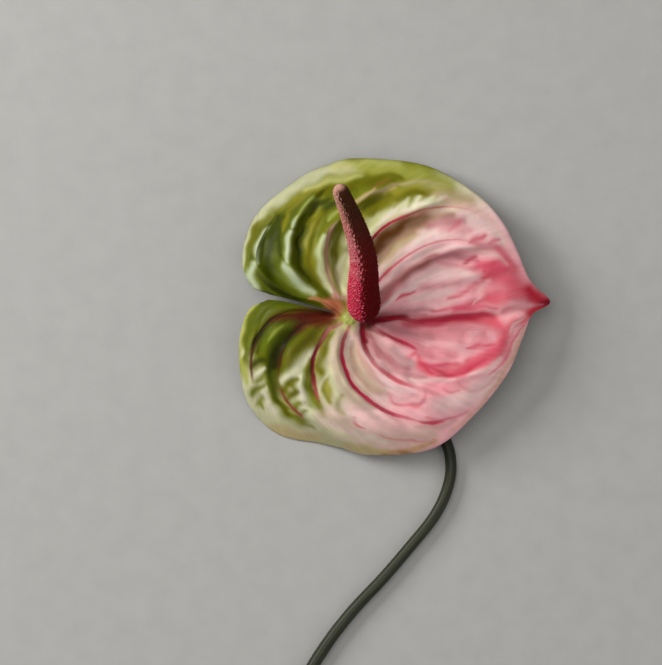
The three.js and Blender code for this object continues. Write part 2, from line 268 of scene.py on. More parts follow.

# %% [markdown]
# Between the main veins the blade is quilted. Short side veins pull it down in small furrows, and the
# tissue between them swells into soft fingers. They follow no rule that a formula could hold, so each
# swelling and furrow is laid as a stroke: a smooth curve through a few places, whose height
# fades with the distance from it as a bell curve and dies away at its two ends. Faint dents from a sum
# of plane waves keep the rest from being too smooth.

# %% Strokes on the blade
SAMPLES_A_STRETCH = 12
WAVES = 14
SHORTEST_WAVE = 0.67
WAVE_RANGE = 0.66
WAVE_HEIGHT = 0.38


def stroke_distance(places, x, y):
    """For each point, the signed distance to a smooth curve through places, the plain distance, and how
    far along the places the nearest point of the curve is. The sign is plus on the curve's left."""
    share = np.linspace(0, len(places) - 1, SAMPLES_A_STRETCH * (len(places) - 1) + 1)
    curve = through(places, share)[:, :2]
    heading = np.gradient(curve, axis=0)
    heading /= np.linalg.norm(heading, axis=1, keepdims=True)
    gap = (x[..., None] - curve[:, 0]) ** 2 + (y[..., None] - curve[:, 1]) ** 2
    nearest = gap.argmin(axis=-1)
    away_x = x - curve[nearest, 0]
    away_y = y - curve[nearest, 1]
    side = heading[nearest, 0] * away_y - heading[nearest, 1] * away_x
    return side, np.hypot(away_x, away_y), share[nearest]


def ripples(x, y, period, seed):
    """Smooth irregular waves of about +-1: a sum of plane waves with random directions and phases, whose
    wavelengths lie within a third of the period."""
    draw = np.random.default_rng(seed)
    total = np.zeros_like(x)
    for turn, phase, stretch in draw.uniform(0, 1, (WAVES, 3)):
        size = 2 * np.pi / (period * (SHORTEST_WAVE + WAVE_RANGE * stretch))
        heading = 2 * np.pi * turn
        total += np.sin(size * (x * np.cos(heading) + y * np.sin(heading)) + 2 * np.pi * phase)
    return total * WAVE_HEIGHT


def by_line(numbers, values):
    """A value for each column: straight runs between values given at some line numbers."""
    return np.interp(line_number, numbers, values)[None, :]


x, y = blade[..., 0].copy(), blade[..., 1].copy()
steps = np.linalg.norm(np.diff(blade, axis=0, prepend=blade[:1]), axis=2)
print("blade", round(float(np.ptp(x)), 1), "by", round(float(np.ptp(y)), 1), "mm")

# %% The quilting between the veins
# height in mm (less than 0 for a furrow), half width in mm, and the places
QUILTING = [
    # upper lobe
    (0.5, 1.6, [(-37.8, 14.5), (-38.8, 19.8), (-37.2, 29.2), (-33.8, 35.8)]),
    (-0.4, 1.7, [(-29.9, 14.5), (-32, 19.4), (-30.3, 30.9), (-27.6, 39.4)]),
    (-0.25, 2.4, [(-26.8, 14.5), (-28.7, 19.4), (-27.6, 28.4), (-25.6, 36.2)]),
    (0.8, 1.4, [(-14.2, 10.1), (-21.5, 16.8), (-25.1, 23.1), (-24.6, 31.7), (-21.5, 39), (-17.8, 43.9)]),
    (0.4, 1.3, [(-21.5, 39), (-17.4, 44.7), (-10.9, 51.4)]),
    (-0.7, 1.5, [(-15.8, 13.3), (-20, 20.7), (-20.9, 29.2), (-17.8, 39.4), (-10.1, 49)]),
    (0.45, 1.3, [(-14, 15.4), (-17.3, 21.9), (-16.4, 30.9), (-13.2, 39.4), (-7.6, 46.2)]),
    (-0.4, 1.3, [(-14.6, 21.9), (-14.3, 30.1), (-10.9, 41.5), (-6.8, 47.2)]),
    (0.6, 1.7, [(-8.5, 11.3), (-11.7, 18.6), (-12.5, 25.2), (-10.9, 32.5), (-6.8, 40.7)]),
    (-0.5, 1.4, [(-6.7, 18.6), (-6.3, 26.8), (-4.8, 34.1), (-1.9, 39.8)]),
    (0.5, 1.6, [(-4.2, 15.4), (-4, 21.1), (-2.3, 27.6), (-0.3, 31.7)]),
    # top rim
    (-0.45, 1.2, [(-1.5, 47.2), (1.3, 51.7), (5.4, 53.9)]),
    (-0.4, 1.2, [(6.2, 53.6), (12.8, 55.5), (20.1, 57.2)]),
    (0.3, 0.9, [(3, 47), (7.9, 50), (12, 52.3)]),
    (-0.45, 1.2, [(6.2, 44.3), (10.7, 47.2), (14.4, 50)]),
    (0.3, 0.9, [(11.1, 48.4), (16.9, 51), (24.2, 52.3)]),
    (-0.4, 1.2, [(10.3, 42.3), (14, 45.2), (17.7, 48)]),
    (0.3, 0.8, [(22.6, 43.9), (23.9, 46.5), (24.9, 49)]),
    (-0.3, 0.8, [(24.9, 44.7), (26.2, 47.2), (27.5, 50)]),
    (0.3, 0.8, [(27.1, 45.6), (28.4, 48), (29.9, 50.5)]),
    (-0.3, 0.8, [(29.5, 46.2), (31.1, 48.7), (33, 50.9)]),
    (0.3, 0.8, [(32, 46.8), (34, 49), (36.3, 51.3)]),
    # upper right
    (-0.8, 2.6, [(11.1, 26), (15.2, 31.7), (20.9, 36.2), (27.5, 38.6), (36.4, 39.8)]),
    (0.9, 1.7, [(12.9, 15.4), (18.5, 20.3), (25, 24.7), (32.4, 28.6), (40.5, 30.5), (48.7, 29.9)]),
    (-0.7, 1.7, [(14.4, 11.3), (18.5, 16.2), (24.2, 20.7), (31.5, 25.2), (40.5, 26.8), (48.7, 25.6)]),
    (0.8, 1.3, [(12.9, 3.9), (16.9, 9.2), (20.9, 12.7), (26.7, 14.9), (32.4, 15.4)]),
    (-0.5, 1.1, [(18.1, 5.6), (21.8, 9.2), (27.5, 11.3), (34, 12.1)]),
    (0.4, 1.5, [(24.2, 7.2), (32.4, 8.8), (40.5, 10.5)]),
    (-0.25, 0.9, [(45.4, 21.9), (48.7, 24.5), (52.4, 27.6)]),
    (-0.25, 0.9, [(47.1, 30.1), (50.3, 32.1), (53.2, 34.5)]),
    (0.35, 1.2, [(49.5, 7.2), (54.4, 10.5), (59.3, 12.9)]),
    (0.4, 1.6, [(50.3, 39), (55.2, 35.8), (59.3, 30.9), (63.4, 24.3)]),
    # midrib
    (-1.6, 1.9, [(6.2, -1.8), (10.3, 1.1), (16, 0.5), (23.4, -0.8)]),
    (-0.7, 1.5, [(23.4, -1), (34, -1.8), (45.4, 0.2), (56, 1.9)]),
    (0.6, 1.3, [(16, 3.1), (25.8, 2.3), (36.4, 2.3), (47.1, 4.1)]),
    # bowl
    (0.6, 1.6, [(10.3, -3.4), (16, -8.3), (23.4, -13.2)]),
    (-0.6, 1.2, [(7.9, -4.2), (11.1, -9.5), (16.9, -14.8), (23.4, -18.1)]),
    (0.5, 2.2, [(24.2, -4.2), (32.4, -8.3), (39.7, -10.8), (46.2, -9.9)]),
    (0.45, 1.4, [(45.4, -8.3), (49.5, -5.5), (54.4, -4.6)]),
    (-0.4, 1.1, [(50.3, -12.8), (55.2, -11.2), (59.3, -8.3)]),
    (-0.3, 1, [(45, -10.8), (45.4, -6.7), (47.9, -4.2)]),
    (0.7, 1.6, [(7.1, -8.3), (11.1, -14.8), (17.7, -19.7), (25.8, -23)]),
    (0.5, 1.6, [(30.7, -23.4), (42.2, -23.8), (52, -20.6), (59.3, -14.8)]),
    # below
    (-0.8, 1.4, [(4, -1.8), (5.3, -6.7), (7.9, -12.8), (12.8, -18.5)]),
    (-0.5, 1.1, [(12.8, -18.5), (18.5, -23.4), (24.2, -26.3)]),
    (0.6, 1.2, [(2.2, -6.3), (4.4, -13.2), (8.7, -18.9), (14.4, -23.8)]),
    (-0.6, 1.4, [(-0.3, -5.1), (1.3, -13.2), (5.4, -20.2), (11.1, -25.5), (17.7, -29.5)]),
    (0.55, 1.2, [(-1.3, -10.8), (-0.3, -18.1), (3.8, -24.6), (10.3, -30.4), (18.5, -34)]),
    (-0.9, 0.9, [
        (-0.6, -4.6), (-3.2, -10.8), (-3.2, -17.3), (-0.6, -24.2), (4, -29.7), (10.3, -34.6),
        (23.4, -39)]),
    (0.7, 1.6, [(-3.6, -4.2), (-5.6, -11.6), (-5.2, -18.9), (-1.9, -26.3), (3.8, -32.8), (11.1, -37.7)]),
    (-0.35, 0.9, [(1.8, -38.5), (2.8, -41), (6.2, -42.8)]),
    (-0.35, 1, [(-5.2, -32.8), (-4.5, -35.4), (-2.7, -38.5)]),
    (0.4, 1.8, [(25.8, -28.7), (34, -30.4), (42.2, -29.5)]),
    (-0.3, 0.9, [(29.5, -28.7), (29.9, -33.2), (25, -34.4), (19.3, -33.2)]),
    (-0.15, 0.9, [(43, -23.8), (44.6, -27.9), (50.5, -28.7), (57, -25.3)]),
    # lower lobe
    (-0.8, 1.1, [
        (-6.8, -2.8), (-10.1, -6.3), (-13.2, -12), (-14.9, -19.7), (-14.3, -27.1), (-11.7, -35.3)]),
    (0.6, 1.5, [(-8.9, -10.8), (-10.9, -17.3), (-11.1, -23.8)]),
    (-0.4, 1.1, [(-9.7, -23), (-9.9, -27.1), (-8.6, -31.2)]),
    (0.6, 1.5, [(-10.9, -10.4), (-15.8, -17.3), (-19.1, -23.8), (-19.5, -30.4), (-15.8, -36.9)]),
    (-0.5, 1.2, [(-16.4, -20.6), (-17.1, -25.5), (-15.6, -30.4), (-13.3, -34.4)]),
    (-0.7, 1.2, [
        (-10.9, -0.8), (-21.5, -6.3), (-26.6, -13.6), (-28.5, -23), (-27.1, -30.8), (-21.5, -37.5)]),
    (0.5, 1.4, [(-15, -5.9), (-21.5, -10.8), (-24.6, -17.3), (-25.2, -23)]),
    (-0.45, 0.9, [(-26.4, -28.3), (-23.8, -25.1), (-20.3, -22.8)]),
    (0.4, 0.9, [(-25.2, -30.8), (-22.3, -27.5), (-19.5, -25.5)]),
    (-0.4, 0.9, [(-23.8, -33.2), (-20.9, -30.4), (-18.7, -28.7)]),
    (0.5, 1.5, [(-19.1, -1.8), (-27.6, -5.1), (-32.5, -9.9), (-34.6, -18.1)]),
    (-0.6, 1.5, [(-21.5, -4.2), (-27.1, -9.5), (-30.5, -16.5), (-31.3, -23.8)]),
    (0.4, 0.9, [(-38.8, -23.8), (-35.8, -21.4), (-33.3, -20.2)]),
    (-0.5, 0.9, [(-38.5, -29.1), (-36.4, -26.1), (-33.8, -24.2)]),
    (0.4, 0.9, [(-37, -31.6), (-34.6, -28.7), (-31.7, -26.3)]),
    (-0.4, 0.8, [(-36.4, -34.4), (-35.4, -31.6), (-32.5, -29.9)]),
    (0.4, 1, [(-33.8, -36.1), (-31.3, -33.2), (-29.3, -30.4)]),
    (-0.5, 1.2, [(-30.5, -26.3), (-28.2, -32.8), (-24.4, -37.9), (-19.9, -41.4)]),
]
DENT_HEIGHT = 0.07
END_FADE = 0.8
QUILTING_STARTS = (0.03, 0.12)
QUILTING_ENDS = (0.86, 0.98)

away_from_edges = smooth_step(*QUILTING_STARTS, out) * (1 - smooth_step(*QUILTING_ENDS, out))
quilt = np.zeros(x.shape)
for height, half_width, places in QUILTING:
    _, distance, share = stroke_distance(places, x, y)
    ends = smooth_step(0, END_FADE, np.minimum(share, len(places) - 1 - share))
    quilt += height * ends * np.exp(-((distance / half_width) ** 2))
quilt += DENT_HEIGHT * ripples(x, y, period=9, seed=8)
relief += quilt * away_from_edges
print(len(QUILTING), "swellings and furrows, from", quilt.min().round(2), "to", quilt.max().round(2), "mm")

# %% [markdown]
# Where the stalk meets it, the blade swells into a low soft dome, and the stem's knob fills the small
# hole in its middle from below. A collar with its own seam would look like plumbing, so the dome is one
# bell curve added to the heights. The blade is thick up to its rim, and rounds off to a thin edge there.
#
# The first and the last column of points are the two sides of the slit. Between the joint and the inner
# end of the slit they are drawn together and share their points, which closes the blade there. Outside
# it, a strip of faces joins the upper and the lower face along each side of the slit, as strips do round
# the hole and along the rim.

# %% The dome at the joint, the blade's thickness and its two faces
EDGE_THICKNESS = 0.4
EDGE_ROUND = 1.1
DOME_PLACE = (0.2, 0.2)
DOME_HEIGHT = 1.3
DOME_WIDTH = 3.6
SLIT_START = 1 / 6
SLIT_OPENS_OVER = 0.03

closed = 1 - smooth_step(SLIT_START, SLIT_START + SLIT_OPENS_OVER, outward)
seam = (blade[:, 0] + blade[:, -1]) / 2
blade[:, 0] += closed[:, None] * (seam - blade[:, 0])
blade[:, -1] += closed[:, None] * (seam - blade[:, -1])
from_joint = np.hypot(x - DOME_PLACE[0], y - DOME_PLACE[1])
dome = DOME_HEIGHT * np.exp(-((from_joint / DOME_WIDTH) ** 2))
blade[..., 2] = np.maximum(blade[..., 2] + relief + dome, BLADE_THICKNESS)

to_rim = np.cumsum(steps[::-1], axis=0)[::-1] - steps
thickness = EDGE_THICKNESS + (BLADE_THICKNESS - EDGE_THICKNESS) * rounded_end(to_rim, EDGE_ROUND)
middle = blade[..., 2] - BLADE_THICKNESS / 2
upper = np.stack([blade[..., 0], blade[..., 1], middle + thickness / 2], axis=2)
lower = np.stack([blade[..., 0], blade[..., 1], middle - thickness / 2], axis=2)
print("blade from", thickness.min().round(2), "to", thickness.max().round(2), "mm thick")

# %% The blade as a closed mesh
slit_row = round(SLIT_START * BLADE_ROWS)
rows, columns = blade.shape[:2]
number = np.arange(rows * columns).reshape(rows, columns)
number[:slit_row + 1, -1] = number[:slit_row + 1, 0]
below = number + rows * columns


def band(a, b, c, d):
    """Rows of four corner numbers from four equally shaped arrays of corners."""
    return np.stack([a, b, c, d], axis=-1).reshape(-1, 4)


faces = np.concatenate([
    band(number[:-1, :-1], number[1:, :-1], number[1:, 1:], number[:-1, 1:]),
    band(below[:-1, :-1], below[:-1, 1:], below[1:, 1:], below[1:, :-1]),
    band(number[0, :-1], number[0, 1:], below[0, 1:], below[0, :-1]),
    band(number[-1, 1:], number[-1, :-1], below[-1, :-1], below[-1, 1:]),
    band(number[slit_row + 1:, 0], number[slit_row:-1, 0], below[slit_row:-1, 0], below[slit_row + 1:, 0]),
    band(number[slit_row:-1, -1], number[slit_row + 1:, -1],
         below[slit_row + 1:, -1], below[slit_row:-1, -1]),
])
# Only the points that a face uses are kept, numbered anew.
kept, faces = np.unique(faces, return_inverse=True)
faces = faces.reshape(-1, 4)
both_faces = np.concatenate([upper.reshape(-1, 3), lower.reshape(-1, 3)])[kept]
spathe = make_mesh("spathe_blade", both_faces + JOINT, faces)
is_lower = (kept >= rows * columns).astype(float)
place = kept % (rows * columns)
print("spathe:", len(both_faces), "points and", 2 * len(faces), "triangles")

# %% [markdown]
# ## The spathe's colours
#
# The variety shades from green lobes through cream to a pink tip, and its main veins are drawn in
# crimson. That drawing isn't a repeat of anything, so it is painted: first a wash that runs from green
# to pink round the blade, then brush strokes placed one by one, each a smooth curve with a soft edge. The
# strokes and the veins are lists of places in mm from the joint. A little ripple on the places keeps the
# edges from looking drawn with a ruler, and faint streaks run outward as the fibres do. The result is
# stored as a colour at each point of the mesh.

# %% The paint box
PAINTS = {
    "forest": "#303806", "moss": "#4e5710", "leaf": "#5a6618", "olive_green": "#6a6f1e",
    "light_green": "#98a35c", "pale_green": "#b6be8e", "black_olive": "#24240c",
    "dark_olive": "#5f5d14", "olive": "#787420", "olive_yellow": "#989a46", "ochre": "#908a38",
    "straw": "#acac66", "straw_tan": "#b6b084", "painted_highlight": "#b0bb98", "cream": "#c6c49c",
    "rim_cream": "#b0b08c", "shell_white": "#dacfbe", "cream_pink": "#d9c3b5", "tan": "#b8a476",
    "amber_tan": "#b08a58", "tan_pink": "#cb9c88", "dusty_tan": "#ba8e80", "fawn": "#b3a078",
    "taupe": "#97735a", "umber": "#8a5624", "spadix_shadow_umber": "#3a200c", "amber": "#c47c58",
    "knob_green": "#a9ad58", "maroon_brown": "#581c12", "maroon": "#62101a",
    "brown_rose": "#9c5c58", "dusty_rose": "#b27279", "deep_crimson": "#740f20", "crimson": "#a3182e",
    "wine": "#a3213e", "crimson_rose": "#b43048", "rose_red": "#bb3450", "rose": "#c8485e",
    "coral_rose": "#d45a6a", "mid_pink": "#cf7c86", "shell_pink": "#e0a4aa", "blush": "#e0b8b2",
    "pale_pink": "#e4c2c0", "shade_brown": "#70421a", "pale_cream": "#d8d6b4", "tip_crimson": "#b81c34",
    "tan_cream": "#b3a08a", "dusk": "#a8867c", "dusk_rose": "#ae8688",
}
paints = {name: linear(colour) for name, colour in PAINTS.items()}


def ramp(value, stops):
    """A colour for each value: straight blends between (value, paint name) stops."""
    at = [stop for stop, _ in stops]
    colours = np.array([paints[name] for _, name in stops])
    return np.stack([np.interp(value, at, channel) for channel in colours.T], axis=-1)


print(len(paints), "paints")

# %% The wash and the brush strokes
# paint, half width in mm, strength, and the places
# Some strokes paint light and shade too: highlights on lit flanks and crests, shade below ridges.
STROKES = [
    # rim of the upper lobe
    # painted light: rim cream is a duller cream that makes up for the window light full on the rims
    ("rim_cream", 3.7, 1, [
        (-37.4, 40.8), (-32.2, 46.1), (-25.7, 50.9), (-18.5, 55.8), (-10.6, 59.8), (-4.8, 61.1)]),
    ("rim_cream", 1.5, 0.95, [(-41.6, 16), (-42.8, 21.9), (-42.5, 28.4), (-41, 34.6), (-37.4, 40.5)]),
    ("straw", 3.2, 0.95, [(-5.4, 60.7), (2.4, 61.7), (11.6, 62), (18.8, 61.7)]),
    ("olive", 1.5, 0.8, [(-29.6, 42.5), (-21.1, 48.7), (-15.2, 51.6), (-10.6, 52.9)]),
    ("straw_tan", 1.9, 0.7, [(-6.7, 59.4), (-1.5, 59.9), (5, 59.8)]),
    ("straw", 2, 0.9, [(-17.8, 51.6), (-11.9, 53.6), (-6.7, 55.2), (-1.5, 56.4), (4.4, 57)]),
    ("olive_yellow", 3.3, 0.95, [(5, 60.5), (15.6, 59.7), (25.4, 58.2), (33.7, 55.6), (40.5, 52.2)]),
    # upper lobe
    ("dark_olive", 1.7, 0.75, [(-39.9, 27.1), (-38.8, 33), (-36.6, 37.7), (-32.7, 41.2)]),
    ("leaf", 0.9, 0.85, [(-41.5, 18), (-41.8, 21.9), (-40.7, 25.8), (-39.9, 28.4)]),
    # partly painted shade: deep green tissue, darkened further on the flanks turned from the window
    ("forest", 2.8, 0.97, [
        (-21.1, 7.9), (-27.3, 9.8), (-30.7, 14.1), (-31.9, 19.3), (-32.1, 24.5), (-31.4, 30.4),
        (-30.4, 35.6), (-28.9, 40.5)]),
    # painted highlight: these pale grey-green strips are the gloss of flanks that face the window
    ("painted_highlight", 1.1, 0.85, [(-36.9, 21.9), (-37.4, 26.5), (-36.2, 31), (-34.3, 34.8), (-32.3, 37)]),
    ("painted_highlight", 1.9, 0.95, [(-35.8, 10.1), (-38.7, 14.1), (-39.9, 18), (-38.8, 21.9)]),
    ("moss", 2.2, 0.85, [
        (-13.2, 7.9), (-20.4, 10.5), (-26, 15), (-28.3, 19.9), (-29, 25.2), (-29.2, 30.4)]),
    ("forest", 1.3, 0.85, [(-27.6, 24.5), (-28.5, 29.7), (-28.3, 34.9), (-25.7, 41.5)]),
    ("olive", 1.2, 0.8, [(-26.4, 34.9), (-26.2, 38.2), (-24.3, 41.5)]),
    ("olive", 1.3, 0.7, [(-25, 42.1), (-21.1, 46.4), (-15.9, 50.3), (-10.6, 52.9)]),
    # painted highlight: more gloss on flanks that face the window, painted as pale strips
    ("painted_highlight", 1.4, 0.93, [(-24.7, 22.5), (-25, 25.8), (-24.6, 31), (-23.6, 34.9)]),
    ("painted_highlight", 0.9, 0.8, [(-23.2, 36.3), (-22.1, 38.5), (-20.3, 40.8)]),
    ("painted_highlight", 2.1, 0.95, [(-14.6, 9.8), (-19.4, 13.7), (-23.6, 17.3), (-26, 20.9)]),
    ("light_green", 1.1, 0.85, [(-20.9, 39.5), (-18.5, 43.4), (-14.6, 47.4), (-10.3, 49.8)]),
    ("moss", 2.2, 0.93, [
        (-13.6, 12.1), (-17.5, 17), (-19.8, 22.5), (-20.6, 28.4), (-19.9, 33.6), (-18.1, 38.9),
        (-15.2, 43.4)]),
    ("forest", 1.1, 0.8, [(-15.9, 14.7), (-19.4, 20.6), (-20.8, 25.8), (-20.6, 31.7), (-19.1, 36.9)]),
    ("forest", 1.7, 0.8, [(-15.9, 42.1), (-12.6, 45.7), (-8, 48)]),
    ("light_green", 0.9, 0.7, [(-14.6, 40.2), (-11.9, 43.4), (-8.7, 45.1)]),
    ("ochre", 0.9, 0.55, [(-17.5, 36.9), (-15.2, 41.2), (-12.3, 44.7)]),
    ("pale_green", 0.7, 0.6, [(-7.8, 19.3), (-8.2, 24.5), (-7.8, 31)]),
    ("black_olive", 0.8, 0.6, [(-21.1, 25.8), (-20.6, 31), (-19.4, 35.6)]),
    ("forest", 1.9, 0.9, [(-12.3, 40.2), (-10, 43.8), (-6.1, 45.7)]),
    ("light_green", 1, 0.7, [(-8.7, 38.9), (-6.7, 41.5), (-4.1, 43.4)]),
    ("olive", 2.4, 0.92, [
        (-10.6, 13.4), (-14.4, 19), (-16, 24.8), (-15.7, 31), (-14, 36.9), (-11.4, 41.5)]),
    ("ochre", 0.8, 0.4, [(-17.5, 25.8), (-17.3, 30.4), (-15.5, 34.9)]),
    ("leaf", 1, 0.6, [(-15.9, 27.8), (-15.1, 32), (-12.9, 34.9)]),
    ("pale_green", 1.8, 0.95, [
        (-6.4, 9.8), (-9.5, 14.4), (-11.6, 19.6), (-12.3, 24.8), (-11.4, 29.4), (-9.8, 33)]),
    ("cream", 1.1, 0.75, [(-7.7, 11.1), (-9.8, 16.3), (-10.6, 21.6)]),
    ("dark_olive", 1.2, 0.85, [(-5.7, 22.5), (-5.4, 28.1), (-4, 33.6), (-1.5, 37.9)]),
    ("cream", 1.8, 0.9, [(-2.1, 10.1), (-4.1, 15.4), (-4.1, 20.6), (-1.8, 25.2)]),
    ("straw", 0.9, 0.8, [(-4.8, 10.8), (-6.8, 15.4), (-7.9, 21.2), (-8.2, 28.4)]),
    # top
    ("dark_olive", 1.9, 0.88, [(-13.2, 49), (-8, 51.6), (-1.5, 52.7)]),
    ("moss", 1.3, 0.8, [(-5.4, 51.6), (-1.5, 51.9), (2.4, 51.3)]),
    ("dark_olive", 2.1, 0.9, [(-2.1, 52.5), (3.7, 53.6), (9.6, 54.5), (16.8, 54.8)]),
    ("umber", 0.7, 0.6, [(8.3, 51.9), (11.9, 54.2), (15.8, 55.3)]),
    ("olive", 3.4, 0.92, [(3.1, 40.2), (7, 44.7), (12.2, 48), (18.1, 49.3)]),
    ("fawn", 1.3, 0.8, [(0.8, 45.7), (6.3, 49), (12.2, 50.8), (18.1, 51.9)]),
    ("fawn", 0.8, 0.75, [(3.1, 45.7), (7.7, 49.6), (9.7, 52.7)]),
    ("dark_olive", 1.4, 0.85, [(9, 41.5), (11.6, 45.4), (15.2, 48.3)]),
    ("moss", 1, 0.7, [(5, 42.8), (7, 45.4), (9.6, 47)]),
    ("straw", 1.3, 0.8, [(7.3, 36.3), (10.3, 39.5), (15.5, 42.8)]),
    ("dark_olive", 1.6, 0.85, [(8, 55.7), (14, 57.1), (20.5, 56.5)]),
    ("ochre", 2, 0.85, [(17.8, 50.3), (25.4, 51.9), (32.9, 51.4), (40.5, 50.7)]),
    ("dark_olive", 2.4, 0.9, [(7.2, 42), (10.6, 45.9), (15.6, 49.1)]),
    ("olive", 2.4, 0.9, [(12.5, 44.2), (17.8, 47.6), (24.6, 49.5), (31.4, 50.3)]),
    ("fawn", 0.8, 0.75, [(8, 49.5), (15.6, 52.5), (23.1, 54.4), (30.6, 54.7), (38.2, 53.4)]),
    ("dark_olive", 1.6, 0.8, [(18.6, 47.3), (23.5, 49.5), (29.1, 50.4)]),
    ("fawn", 2.6, 0.85, [(32.9, 49.1), (40.5, 49.5), (48, 46.9)]),
    # cream ridge: cream tissue along high_4, with shell white as painted highlight on its lit flank
    ("cream", 2, 0.97, [(6.5, 31), (9.5, 35.6), (14, 39.7), (20.1, 42.7), (27.6, 44.8), (36.7, 45.6)]),
    ("shell_white", 1.2, 0.9, [(11, 37.4), (17.1, 41.8), (24.6, 44.4), (32.9, 45.6)]),
    ("cream", 1, 0.9, [(19.2, 42.3), (20.8, 45.4), (23.1, 48.2)]),
    ("pale_cream", 1.1, 0.7, [(24.2, 43.9), (26.1, 46.5), (27.8, 48.6)]),
    ("pale_cream", 1.1, 0.7, [(29.5, 45), (31, 47.1), (32.8, 48.8)]),
    ("olive", 1, 0.5, [(17.4, 43.6), (18.9, 46.1), (20.5, 48)]),
    ("olive", 1, 0.5, [(22.5, 45.1), (24, 47.3), (25.4, 48.9)]),
    ("olive", 0.9, 0.4, [(27.8, 46.1), (29.1, 47.9), (30.5, 49.5)]),
    ("shell_white", 0.9, 0.85, [(34.4, 45.4), (36.1, 47.1), (38, 48.6)]),
    ("tan_pink", 2.2, 0.5, [(37.4, 46.9), (44.2, 45.4), (51, 42.7), (57.1, 37.8), (61.6, 30.6)]),
    ("pale_pink", 2.8, 0.85, [(45, 40.8), (50.3, 39), (56.3, 35.6), (60.9, 30.6)]),
    # between the right veins
    # painted shade: umber and brown below the high_4 vein are the shade of its ridge and of the spadix
    ("umber", 3.8, 0.97, [(6.5, 23.1), (11.8, 29.5), (16.3, 33.5), (22.3, 37.3), (28.4, 39.6)]),
    ("shade_brown", 2.2, 0.92, [(8.8, 25.4), (13.7, 32), (18.6, 35.6), (23.9, 38)]),
    ("taupe", 2.3, 0.85, [(23.1, 36.3), (28.4, 39), (34.4, 40.5), (41.2, 40.8)]),
    ("dusty_rose", 2.4, 0.85, [(31.4, 37.1), (37.8, 38.2), (44.6, 39)]),
    ("taupe", 2.3, 0.85, [(9.5, 19.3), (14, 25.7), (19.3, 30.6), (25, 34)]),
    ("fawn", 1.4, 0.75, [(12.5, 21.6), (17.1, 26.9), (22.3, 31), (27.6, 34)]),
    ("tan_cream", 2, 0.85, [(13.3, 18.2), (17.1, 22.7), (21.6, 26.1)]),
    ("tan_pink", 0.8, 0.7, [(26.1, 40.6), (30.6, 42.3), (35.9, 42.9)]),
    ("pale_pink", 1.6, 0.8, [(19.3, 22.9), (25.4, 27.6), (32.2, 31.4), (39.7, 33.8)]),
    ("shell_white", 0.8, 0.8, [(24.2, 28.4), (27.3, 30.8), (31, 34)]),
    ("rose", 0.8, 0.5, [(39, 34.3), (41.4, 37.3), (43.6, 39.3)]),
    ("mid_pink", 2.2, 0.5, [(36.7, 35.2), (42, 35.9), (47.6, 34.8)]),
    ("rose", 1.2, 0.75, [(47.6, 29.9), (50.3, 31.8), (53.3, 33.5)]),
    ("rose", 1.4, 0.65, [(55.7, 29.9), (57.5, 31), (59.2, 31.6)]),
    ("mid_pink", 2.2, 0.75, [(49.5, 29.9), (56.3, 28.4), (60.9, 25.4), (65, 20.5)]),
    ("rose", 2.3, 0.6, [(59, 27.6), (62.4, 23.9), (65.4, 18.6)]),
    # second right vein: painted highlight in pale pink on the lit crest, painted shade in brown rose below
    ("pale_pink", 1.1, 0.97, [
        (11.4, 11.4), (16.3, 16.5), (21.6, 20.8), (27.6, 24.6), (34.4, 27.2), (41.2, 28.2), (48.4, 27.2)]),
    ("blush", 1.2, 0.75, [(48.4, 27.2), (54.2, 26.5), (59.3, 23.9), (62.5, 20.5)]),
    ("brown_rose", 2.4, 0.95, [(10.3, 3.8), (15.2, 11.2), (21.2, 17.1), (27.8, 21.6), (34.4, 24.4)]),
    ("mid_pink", 2.6, 0.35, [(9.5, 2.7), (14, 8.8), (18.6, 13.3)]),
    ("dusty_rose", 1.7, 0.92, [(32.2, 23.5), (38.2, 25.2), (44.2, 24.8), (51, 22.7)]),
    ("crimson_rose", 0.9, 0.85, [(45.4, 22), (48, 24.1), (50.4, 25.1)]),
    ("rose", 2.6, 0.9, [(49.1, 19.3), (53.3, 20.8), (58.6, 21.6)]),
    ("crimson_rose", 1.2, 0.9, [(52.5, 18.4), (54.8, 20.5), (57.5, 22)]),
    ("pale_pink", 2.8, 0.85, [(24.6, 14), (32.2, 17.4), (40.5, 18.2), (48.8, 17.1)]),
    ("mid_pink", 1.4, 0.55, [(34.4, 22.2), (42, 21.4), (49.1, 19.9)]),
    ("pale_pink", 1.3, 0.93, [(12.2, 3.1), (15.9, 7.2), (19.3, 9.7), (23.5, 12.4), (29.5, 14.9)]),
    ("rose", 0.8, 0.95, [(18.4, 6.9), (21.6, 9.5), (25.7, 11.6)]),
    ("rose", 1, 0.2, [(26.1, 11), (32.2, 12.9), (38.2, 14), (43.9, 13.3)]),
    ("pale_pink", 1.9, 0.85, [(23.9, 8.1), (32.2, 9.4), (40.5, 11.2)]),
    ("rose", 0.9, 0.8, [(38.2, 7.1), (43.5, 9.5), (48.8, 13.3), (52.9, 15.9)]),
    ("rose", 2.2, 0.85, [(41.2, 3.8), (50.3, 6.5), (57.8, 8.8)]),
    ("blush", 0.7, 0.8, [(48.8, 5.6), (52.5, 10.1), (56.7, 13.4)]),
    # tip
    ("mid_pink", 4, 0.85, [(50.3, 12.5), (57.1, 14), (63.9, 14)]),
    ("coral_rose", 5.2, 0.95, [(56.3, 18.2), (61.6, 17.1), (65.8, 13.3), (70.3, 8.8)]),
    ("coral_rose", 3.4, 0.9, [(54.8, 8.8), (62.4, 8.4), (69.2, 6.9)]),
    ("rose", 2, 0.85, [(53.3, 15.9), (57.8, 19.3), (62.5, 19.9)]),
    ("mid_pink", 2, 0.75, [(60.9, 3.1), (65.4, 4.8), (69.9, 5.4)]),
    ("blush", 0.9, 0.5, [(50.3, 10.3), (53.3, 13.3), (56.3, 16.3)]),
    ("tip_crimson", 3.8, 0.98, [(71.3, 11.6), (74.4, 8.8), (79.3, 6.7)]),
    ("tip_crimson", 3.2, 0.96, [(71.8, 2), (74.8, 4.2), (79.3, 6.3)]),
